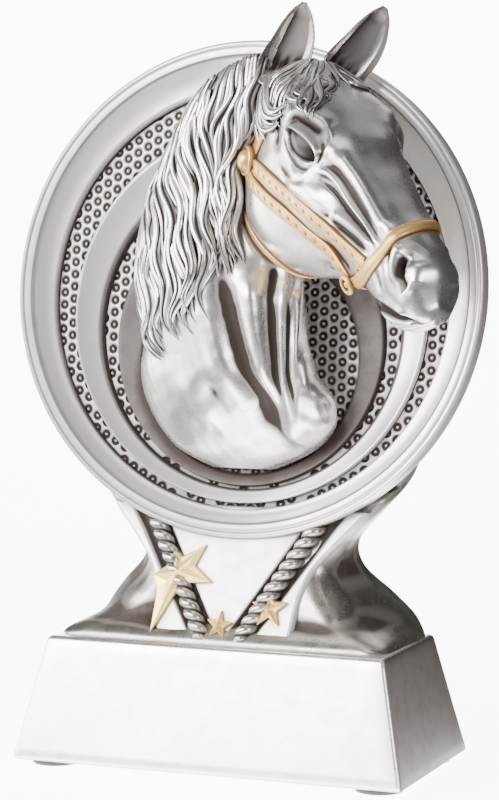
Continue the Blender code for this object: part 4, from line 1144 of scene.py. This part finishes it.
def neck_front(x, z):
    """Depth of the neck's near surface at places seen from the front."""
    found = []
    for target, section in zip(x, neck_section(z, 72, 24)):
        near = section[:73][::-1]
        near = near[np.argmin(near[:, 0]):]
        found.append(np.interp(target, near[:, 0], near[:, 1]))
    return np.array(found)


# Muscles and folds seen from the front: route as x and height, width, height of the push
NECK_STROKES = (
    (pairs(-0.6, 106.0, 1.0, 95.0, 3.6, 85.0, 6.4, 77.4, 8.6, 70.1, 8.8, 65.0), 3.0, -2.3),
    (pairs(10.4, 108.0, 10.9, 95.0, 11.2, 86.1, 11.6, 77.5, 12.3, 69.6), 1.6, -1.6),
    (pairs(12.7, 106.0, 12.9, 90.0, 13.0, 79.3, 13.1, 69.5), 0.8, 0.75),
    (pairs(14.6, 106.0, 14.2, 92.0, 14.0, 82.0, 14.0, 75.9, 13.9, 70.7), 1.1, -1.1),
    (pairs(15.5, 104.0, 15.2, 92.0, 14.9, 82.8, 14.6, 75.9), 0.6, 0.55),
    (pairs(6.0, 106.0, 6.8, 92.0, 8.2, 82.0, 10.0, 74.0), 2.3, 1.1),
    (pairs(-5.5, 80.1, -2.5, 75.5, 0.5, 72.0, 4.0, 68.6, 6.0, 66.0), 3.2, -0.35),
    (pairs(-9.8, 79.5, -7.0, 75.5, -4.5, 71.8, 0.0, 66.5), 2.8, 0.95),
    (pairs(-2.0, 88.0, 0.5, 80.0, 4.0, 74.0, 5.5, 71.0), 2.4, 0.55),
    (pairs(17.5, 71.5, 14.5, 68.0, 11.5, 65.4), 2.6, 0.95),
    (pairs(16.2, 83.0, 16.6, 79.0, 16.6, 75.5), 1.1, 0.45),
    (pairs(19.6, 75.2, 20.6, 72.0, 20.4, 69.0), 1.4, -0.7),
)


def jowl_tuck(x, z):
    """How far the neck draws back beside the jowl, so that the cheek and its strap stand proud."""
    round_edge = np.hypot((x - 13.0) / 9.6, np.minimum(z - 112.0, 0) / 11.2)
    push = 2.4 * ease(1.70, 1.05, round_edge) + 3.4 * ease(1.05, 0.82, round_edge)
    return push * (1 - 0.5 * ease(122.0, 132.0, z))


def carve_neck(grid):
    flat = grid * np.array([1.0, 0.0, 1.0])
    proud = rim_plane_y(grid[..., 2]) + 3.0 - grid[..., 1]
    near = ease(0.0, 5.0, proud)
    push = np.zeros(grid.shape[:2])
    for route, width, height in NECK_STROKES:
        places = along_route(route, 8 * len(route))
        path = np.column_stack([places[:, 0], np.zeros(len(places)), places[:, 1]])
        push += stroke(flat, path, width, height, 0.30)
    push += waves(grid, 11.0, 31) * 0.07 + waves(grid, 3.5, 32) * 0.04
    return near * push


def build_neck():
    z = np.linspace(NECK_KNOTS[0][0], NECK_KNOTS[-1][0], 250)
    rings = neck_section(z, 176, 36)
    rings = blur_rows(rings, 4)
    near = ease(0.0, 5.0, rim_plane_y(rings[..., 2]) + 3.0 - rings[..., 1])
    rings[..., 1] += near * jowl_tuck(rings[..., 0], rings[..., 2])
    out = grid_normals(rings)
    if signed_volume_of_grid(rings) < 0:
        out = -out
    rings = rings + carve_neck(rings)[..., None] * out
    rings[..., 1] = np.minimum(rings[..., 1], rim_plane_y(rings[..., 2]) + LAST_FLOOR + NECK_SUNK)
    make_grid("horse_neck", rings, SILVER, hollow_of(rings, (4, 10, 20), 0.030))


# Ears: root on the head, axis and facing as shares of nose, left and crown, and height
EAR_LEAF = pairs(0.0, 0.72, 0.12, 0.86, 0.3, 0.98, 0.5, 1.0, 0.65, 0.90, 0.8, 0.68, 0.93, 0.38, 1.0, 0.12)
EARS = (
    ("near_ear", (0.0, -0.110, -0.07), (-2.6, 2.4, 12.0), (1.0, -0.9, 0.0), 17.2),
    ("far_ear", (0.0, 0.085, -0.06), (-2.4, 5.6, 11.0), (1.0, -0.4, 0.0), 18.2),
)


def build_ears():
    directions = np.array(head_frame()[1:])
    for name, root, axis, facing, height in EARS:
        root = head_to_mm(root)
        axis = unit(axis @ directions)
        facing = facing @ directions
        facing = unit(facing - axis * np.dot(axis, facing))
        across = np.cross(axis, facing)
        t = np.linspace(0, 1, 90)[:, None]
        turn = circle(96)[None, :]
        half = 4.9 * through(EAR_LEAF, t[:, 0])
        left = ease(0.3, -0.3, np.cos(turn)) * ease(0.15, 0.60, t)
        half = half * (1 - 0.30 * left)
        thick = 3.5 * (1.0 - 0.72 * t)
        sin = np.sin(turn)
        opening = ease(0.0, 0.22, t) * (1 - 0.45 * ease(0.8, 1.0, t))
        scoop = np.clip(sin, 0, 1)
        cup = 0.42 * np.sin(np.clip(scoop / 0.34, 0, 1) * math.pi) - 0.80 * ease(0.12, 0.80, scoop)
        front = sin * (1 - opening) + opening * cup
        tufts = 0.10 * (1 - ease(0.15, 0.45, t)) * np.sin(np.cos(turn) * 17 + 3 * np.sin(t * 7))
        hair = tufts * ease(0.3, 0.7, scoop) * opening
        bulge = np.where(sin < 0, sin, front) + hair
        lean = 0.9 * (t**2)
        grid = (root + axis * (height * t)[..., None] + half[..., None] * np.cos(turn)[..., None] * across
                + (thick * bulge)[..., None] * facing + lean[..., None] * facing * 0.4)
        # Dark wash inside the cup, heavier on its left inner wall as painted shade; the rim is rubbed lighter
        deep = ease(0.25, 0.85, scoop) * opening
        wash_and_shade = EVEN + deep * (0.27 - 0.09 * np.cos(turn)) + tufts * deep
        rim = np.exp(-((scoop - 0.17) / 0.10) ** 2) * opening
        wash_and_shade = np.clip(wash_and_shade - 0.30 * rim, 0.05, 0.98)
        make_grid(name, grid, SILVER, wash_and_shade)


# Hair: guide strands of the mane seen from the front, as x and height, from right to left
MANE_GUIDES = (
    pairs(8.6, 141.2, 7.6, 135.4, 6.4, 129.7, 4.4, 124.0, 2.2, 118.2, 2.0, 110.5, 3.0, 104.0, 3.6, 100.6),
    pairs(6.1, 141.0, 5.6, 134.4, 4.2, 128.3, 2.2, 123.0, 0.9, 117.2, 1.2, 109.5, 2.4, 102.9, 1.6, 96.3),
    pairs(3.2, 139.7, 2.3, 133.0, 0.6, 127.3, -0.6, 122.2, -0.6, 116.0, 0.2, 108.2, 1.4, 101.6, 0.5,
          96.6),
    pairs(-0.9, 137.8, -3.5, 132.1, -3.5, 127.3, -2.0, 122.0, -1.2, 116.2, -0.4, 109.5, 0.6, 103.0, -0.6,
          97.4),
    pairs(-4.0, 135.4, -6.6, 129.7, -6.7, 123.9, -5.0, 118.2, -3.4, 112.0, -2.4, 105.7, -1.9, 99.4, -3.4,
          93.6),
    pairs(-6.6, 131.6, -9.3, 125.9, -9.3, 120.1, -7.6, 114.0, -5.4, 107.2, -4.4, 100.2, -5.4, 92.1, -2.4,
          84.3),
    pairs(-9.8, 128.3, -12.4, 122.5, -12.5, 116.2, -10.8, 110.0, -8.9, 103.2, -8.0, 96.4, -9.2, 89.6,
          -6.2, 83.7),
    pairs(-13.0, 122.5, -15.6, 115.2, -15.7, 108.4, -14.0, 101.7, -12.9, 96.4, -13.0, 91.2, -11.6, 87.0,
          -9.0, 83.6),
    pairs(-15.4, 118.2, -18.0, 111.0, -18.6, 103.6, -17.4, 96.8, -17.3, 91.0, -16.8, 86.8, -15.0, 83.0,
          -12.4, 80.6),
    pairs(-17.2, 113.0, -19.6, 106.0, -20.2, 99.5, -19.8, 94.0, -19.4, 90.0, -18.8, 87.0, -17.4, 84.2,
          -15.2, 82.4),
)


LOCK_TAPER = pairs(0, 0.45, 0.12, 0.85, 0.4, 1.0, 0.70, 0.80, 0.88, 0.45, 1.0, 0.05)


def lock_grid(path, out, width, thick, grooves, seed):
    """A tapering lock along a path: flat, with fine grooves that run its length."""
    draw = np.random.default_rng(seed)
    t = np.linspace(0, 1, len(path))
    way = unit(np.gradient(path, axis=0))
    across = unit(np.cross(out, way))
    out = np.cross(way, across)
    sides = 20
    turn = circle(sides)[None, :]
    taper = through(LOCK_TAPER, t)[:, :1]
    phase = draw.uniform(0, 6.3)
    comb = np.cos(grooves * turn + phase + 1.2 * np.sin(t[:, None] * 5 + phase))
    radius = 1 + 0.13 * comb
    twist = 0.5 * np.sin(t * 4 + phase)[:, None]
    flat_x = np.cos(turn + twist) * width * taper * radius
    flat_y = np.sin(turn + twist) * thick * taper * radius
    grid = path[:, None] + flat_x[..., None] * across[:, None] + flat_y[..., None] * out[:, None]
    wash_and_shade = np.clip(0.50 - 0.42 * comb + 0.10 * (1 - taper), 0.02, 0.98)
    return grid, wash_and_shade


def mane_route(share, drift, count):
    """Route of one lock between the guides, seen from the front."""
    guides = np.array(MANE_GUIDES)
    place = share * (len(guides) - 1)
    knots = [(k, *guide.reshape(-1)) for k, guide in enumerate(guides)]
    route = through(knots, place).reshape(-1, 2)
    route[:, 0] += drift * np.linspace(0.2, 1, len(route))
    return along_route(route, count)


# Name, count, width, thickness, how deep it lies, range of lengths, stations
MANE_LAYERS = (
    ("mane_under", 28, 1.90, 1.5, 0.1, (0.93, 1.0), 40),
    ("mane_middle", 30, 1.35, 1.30, -0.90, (0.78, 1.0), 50),
    ("mane_top", 26, 0.95, 1.15, -1.80, (0.45, 0.95), 50),
)


def build_mane():
    draw = np.random.default_rng(7)
    for name, count, width, thick, sink, lengths, stations in MANE_LAYERS:
        locks = []
        for k in range(count):
            share = np.clip((k + draw.uniform(-0.3, 0.3)) / (count - 1), 0, 1)
            drift = draw.uniform(-1.0, 1.0) * 0.7
            flat = mane_route(share, drift, 60)
            begin = 0 if name != "mane_top" else int(draw.integers(0, 12))
            end = max(begin + 20, int(60 * draw.uniform(*lengths)))
            flat = along_route(flat[begin:end], stations)
            t = np.linspace(0, 1, stations)
            swell = ease(0.0, 0.3, t)
            flat[:, 0] += 0.85 * np.sin(flat[:, 1] * 0.46 + share * 11.0 + draw.uniform(-0.7, 0.7)) * swell
            flat[:, 0] += 0.40 * np.sin(t * draw.uniform(7, 15) + draw.uniform(0, 6.3)) * swell
            depth = neck_front(flat[:, 0], flat[:, 1]) + sink + 0.50 * np.sin(t * 9 + draw.uniform(0, 6.3))
            depth += ease(0.85, 1.0, t) * (0.6 - min(sink, 0) * 0.4)
            path = np.column_stack([flat[:, 0], depth, flat[:, 1]])
            side = np.clip((flat[:, 0] + 12.0) / -8.0, 0, 1)[:, None]
            out = unit(np.array([0.25, -1.0, 0.0]) * (1 - side) + np.array([-0.9, -0.55, 0.0]) * side)
            size = draw.uniform(0.8, 1.15)
            grooves = int(draw.integers(3, 5))
            locks.append(lock_grid(path, out, width * size, thick * size, grooves, 100 + k))
        make_bundle(name, locks, SILVER)


# Forelock: places along the head and round it, from the ear's foot to the middle of the brow
FORELOCK = (
    pairs(-0.01, 0.1, -0.014, 0.5, -0.016, 1.0, -0.012, 1.75, 0.02, 2.45, 0.075, 2.95),
    pairs(0.0, 0.08, 0.036, 0.55, 0.054, 1.05, 0.052, 1.8, 0.08, 2.45, 0.165, 2.62),
    pairs(0.003, 0.05, 0.065, 0.5, 0.112, 0.98, 0.128, 1.55, 0.146, 1.98, 0.196, 2.08),
    pairs(0.006, 0.02, 0.072, 0.4, 0.13, 0.78, 0.168, 1.12, 0.186, 1.42, 0.205, 1.72),
    pairs(0.02, 0.04, 0.099, 0.42, 0.165, 0.75, 0.2, 0.95, 0.232, 1.02, 0.262, 0.95),
    pairs(0.033, 0.02, 0.104, 0.3, 0.165, 0.55, 0.205, 0.7, 0.24, 0.76, 0.28, 0.74),
    pairs(0.038, -0.05, 0.107, 0.12, 0.16, 0.22, 0.195, 0.3, 0.225, 0.36, 0.25, 0.42),
)
SIDE_LOCKS = (
    pairs(0.015, -0.18, 0.06, -0.2, 0.11, -0.2, 0.165, -0.2),
    pairs(0.015, -0.3, 0.04, -0.5, 0.067, -0.8, 0.102, -1.0, 0.15, -1.08),
    pairs(0.02, -0.4, 0.05, -0.7, 0.08, -0.95, 0.12, -1.12, 0.16, -1.3),
    pairs(0.12, -0.45, 0.144, -0.62, 0.14, -0.9, 0.155, -1.1),
)

EAR_LOCKS = (
    pairs(-0.03, 0.95, -0.03, 1.8, -0.005, 2.4, 0.045, 2.8, 0.09, 3.02),
    pairs(-0.025, 0.85, -0.02, 1.65, 0.015, 2.3, 0.065, 2.66, 0.12, 2.78),
    pairs(-0.02, 0.75, -0.008, 1.5, 0.03, 2.12, 0.08, 2.5, 0.13, 2.52, 0.172, 2.28),
    pairs(-0.012, 0.62, 0.006, 1.3, 0.046, 1.92, 0.098, 2.26, 0.15, 2.24, 0.19, 1.98),
    pairs(-0.035, 1.4, -0.03, 2.2, 0.0, 2.75, 0.04, 3.15, 0.07, 3.35),
)


def hair_on_head(route, count, lift, width, thick, grooves, seed, sway=0.06):
    """One lock of hair lying on the carved head."""
    draw = np.random.default_rng(seed)
    places = along_route(route, count)
    t = np.linspace(0, 1, count)
    line = places[:, 1] + sway * np.sin(t * 7 + draw.uniform(0, 6.3)) * t
    spots, out = carved_head(places[:, 0], line % 12)
    path = spots + out * (lift * (0.35 + 0.65 * np.sin(math.pi * np.clip(t * 0.9 + 0.1, 0, 1))))[:, None]
    return lock_grid(path, out, width, thick, grooves, seed)


# Count, width, thickness, lift, range of lengths
FORELOCK_LAYERS = (
    (12, 1.60, 0.70, 0.00, (0.62, 0.90)),
    (17, 0.90, 0.60, 0.30, (0.60, 1.10)),
    (13, 0.55, 0.48, 0.70, (0.55, 1.15)),
)


def build_forelock():
    draw = np.random.default_rng(17)
    locks = []
    knots = [(k, *route.reshape(-1)) for k, route in enumerate(FORELOCK)]
    for layer, (count, width, thick, lift, lengths) in enumerate(FORELOCK_LAYERS):
        for k in range(count):
            share = np.clip((k + draw.uniform(-0.35, 0.35)) / (count - 1), 0, 1)
            route = through(knots, share * (len(FORELOCK) - 1)).reshape(-1, 2)
            end = draw.uniform(*lengths)
            route = route[0] + (route - route[0]) * (end, 0.4 + 0.6 * end)
            route[-1, 1] += draw.uniform(-0.22, 0.30)
            size = width * draw.uniform(0.80, 1.20)
            locks.append(hair_on_head(route, 32, lift, size, thick, 3, 300 + 50 * layer + k, 0.22))
    for k, route in enumerate(SIDE_LOCKS):
        for step in (-1, 1):
            moved = route + (0.004 * step, 0.10 * step)
            locks.append(hair_on_head(moved, 36, 0.25, 0.75, 0.5, 3, 500 + 7 * k + 2 * step))
    for k, route in enumerate(EAR_LOCKS):
        for step in (-1, 0, 1):
            moved = route + (0.006 * step, 0.11 * step)
            lift = 1.15 + 0.15 * step
            locks.append(hair_on_head(moved, 44, lift, 0.95, 0.62, 4, 700 + 5 * k + step, 0.08))
    make_bundle("forelock", locks, SILVER)


def build_pads():
    for pad, name in zip(PADS, ("pad_front_left", "pad_front_right", "pad_back_left", "pad_back_right")):
        low, high = np.array(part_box(pad), float) / MM
        middle = (low + high) / 2 - ORIGIN
        radius = (high[0] - low[0]) / 2
        height = high[2] - low[2]
        turn = circle(64)
        rings = []
        for share, rise in pairs(0.93, 0.0, 0.985, 0.08, 1.0, 0.25, 1.0, 0.75, 0.985, 0.95, 0.95, 1.0):
            x = middle[0] + radius * share * np.cos(turn)
            y = middle[1] + radius * share * np.sin(turn)
            rings.append(np.column_stack([x, y, np.full(64, low[2] + height * rise)]))
        make_grid(name, np.array(rings), RUBBER, node=pad, slot="pad_rubber")


# Studio

# Level ways to the camera's right and away from it
VIEW_SIDE = (0.928, 0.373)
VIEW_AWAY = (-0.371, 0.924)


def floor_paint():
    """Pale paper, glowing softly behind the trophy and in a pool at the left, dim elsewhere."""
    paint = Paint("floor_white")
    maths, spread = paint.maths, paint.spread
    apart = paint.add("SeparateXYZ", Vector=paint.place).outputs

    def along(x_share, y_share):
        return maths("ADD", maths("MULTIPLY", apart["X"], x_share), maths("MULTIPLY", apart["Y"], y_share))

    cloud = paint.noise(6.0, 2.0)
    across, behind = along(*VIEW_SIDE), along(*VIEW_AWAY)
    edge = maths("MULTIPLY", maths("ADD", behind, 0.58), 0.094)
    past = maths("SUBTRACT", maths("ABSOLUTE", across, 0.0), edge)
    low = spread(apart["Z"], 0.20, 0.25, 1.0, 0.0)
    middle = maths("MULTIPLY", spread(past, 0.0, 0.012, 1.0, 0.0), low)
    backdrop = maths("MULTIPLY", middle, spread(behind, -0.10, -0.06, 0.0, 1.0))
    left = paint.add("VectorMath", Vector=paint.place)
    left.operation = "SUBTRACT"
    left.inputs[1].default_value = (-0.34, -0.06, 0.0)
    reach = paint.add("VectorMath", Vector=left.outputs["Vector"])
    reach.operation = "LENGTH"
    pool = spread(reach.outputs["Value"], 0.10, 0.24, 6.0, 0.0)
    paper = paint.mix(cloud, (0.92, 0.92, 0.92), (0.9062, 0.9062, 0.9062))
    # Painted light: the floor glows of itself in a wedge behind the trophy laid out along the camera's view
    # and in a pool at the left, and is painted dark grey outside the wedge
    return paint.wear({
        "Base Color": paint.mix(backdrop, (0.20, 0.20, 0.20), paper),
        "Roughness": 0.9,
        "Emission Color": (1.0, 1.0, 1.0),
        "Emission Strength": maths("ADD", maths("MULTIPLY", backdrop, 9.0), pool),
    })


def build_stage():
    """A pale floor that curves up into a narrow backdrop."""
    away = np.array(VIEW_AWAY)
    side = np.array([away[1], -away[0]])
    route = pairs(-0.42, 0.0, 0.05, 0.0, 0.30, 0.0, 0.42, 0.012, 0.52, 0.06, 0.58, 0.16, 0.60, 0.34,
                  0.60, 0.52)
    rows = along_route(route, 60)
    verts, faces = [], []
    for reach, rise in rows:
        half = 0.60 - 0.43 * ease(0.05, 0.45, reach)
        for s in (-half, half):
            spot = away * reach + side * s
            verts.append((spot[0] / MM, spot[1] / MM, rise / MM - 0.02))
    for k in range(len(rows) - 1):
        faces.append((2 * k, 2 * k + 1, 2 * k + 3, 2 * k + 2))
    mesh = bpy.data.meshes.new("studio_floor")
    mesh.from_pydata([tuple((np.array(v) + ORIGIN) * MM) for v in verts], [], faces)
    mesh.shade_smooth()
    mesh.materials.append(floor_paint())
    floor = add_object("studio_floor", mesh)
    floor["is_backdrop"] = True


WHITE = (1.0, 1.0, 1.0)
LIT_MIDDLE = (0.0, 0.0, 0.075)
ROOM_COLOUR = (0.065, 0.062, 0.060, 1.0)
# Name, place, size, power and colour
LIGHTS = (
    ("key_front_left", (-0.40, -0.78, 0.42), (0.46, 0.50), 17.0, (1.0, 0.99, 0.975)),
    ("side_front_left", (-0.71, -0.41, 0.28), (0.50, 0.50), 12.0, WHITE),
    ("side_left", (-0.80, 0.12, 0.08), (0.50, 0.34), 6.5, WHITE),
    ("front_right", (0.60, -0.60, 0.30), (0.17, 0.34), 3.4, (1.0, 0.97, 0.96)),
    ("back_soft", (-0.15, 0.80, 0.60), (0.40, 0.30), 0.8, WHITE),
    ("top_soft", (0.02, -0.22, 0.80), (0.30, 0.26), 0.7, WHITE),
    ("top_back", (0.04, 0.42, 0.66), (0.30, 0.30), 0.14, WHITE),
)


def build_lights():
    """Large soft boxes in front and to the left, and a dim room, so the right side falls dark."""
    for name, place, size, power, colour in LIGHTS:
        data = bpy.data.lights.new(name, "AREA")
        data.shape = "RECTANGLE"
        data.size, data.size_y = size
        data.energy = power
        data.color = colour
        made = add_object(name, data)
        made.location = place
        made.rotation_euler = (Vector(place) - Vector(LIT_MIDDLE)).to_track_quat("Z", "Y").to_euler()
    world = bpy.data.worlds.new("studio")
    world.use_nodes = True
    room = world.node_tree.nodes["Background"]
    room.inputs[0].default_value = ROOM_COLOUR
    room.inputs[1].default_value = 1.0
    bpy.context.scene.world = world


# The view, found by fitting the plinth's corners and the dish's rim
VIEW_AZIMUTH = math.radians(21.895)
VIEW_ELEVATION = math.radians(5.437)
VIEW_DISTANCE = 564.0
VIEW_HEIGHT = 70.5
FOCAL_PIXELS = 2830.63
IMAGE_SIZE = (499, 800)
VIEW_CENTRE = (241.29, 412.83)


def build_camera():
    a, e = VIEW_AZIMUTH, VIEW_ELEVATION
    back = Vector((math.sin(a) * math.cos(e), -math.cos(a) * math.cos(e), math.sin(e)))
    right = Vector((math.cos(a), math.sin(a), 0.0))
    up = back.cross(right)
    camera = bpy.data.cameras.new("camera")
    camera.sensor_width = 36.0
    camera.lens = FOCAL_PIXELS / IMAGE_SIZE[1] * camera.sensor_width
    camera.shift_x = (IMAGE_SIZE[0] / 2 - VIEW_CENTRE[0]) / IMAGE_SIZE[1]
    camera.shift_y = (VIEW_CENTRE[1] - IMAGE_SIZE[1] / 2) / IMAGE_SIZE[1]
    camera.clip_start = 0.01
    made = add_object("camera", camera)
    place = Vector((ORIGIN[0], ORIGIN[1], VIEW_HEIGHT)) * MM + back * VIEW_DISTANCE * MM
    pose = Matrix((right, up, back)).transposed().to_4x4()
    pose.translation = place
    made.matrix_world = pose
    bpy.context.scene.camera = made


for build in (build_camera, build_stage, build_lights, build_base, build_waist, build_panel, build_ropes,
              build_stars, build_dish, build_floors, build_neck, build_head, build_eyes, build_ears,
              build_mane, build_forelock, build_halter, build_halter_fittings, build_pads):
    build()

boxes = [[list(map(float, corner)) for corner in box] for box in (CAD_BOX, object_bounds())]
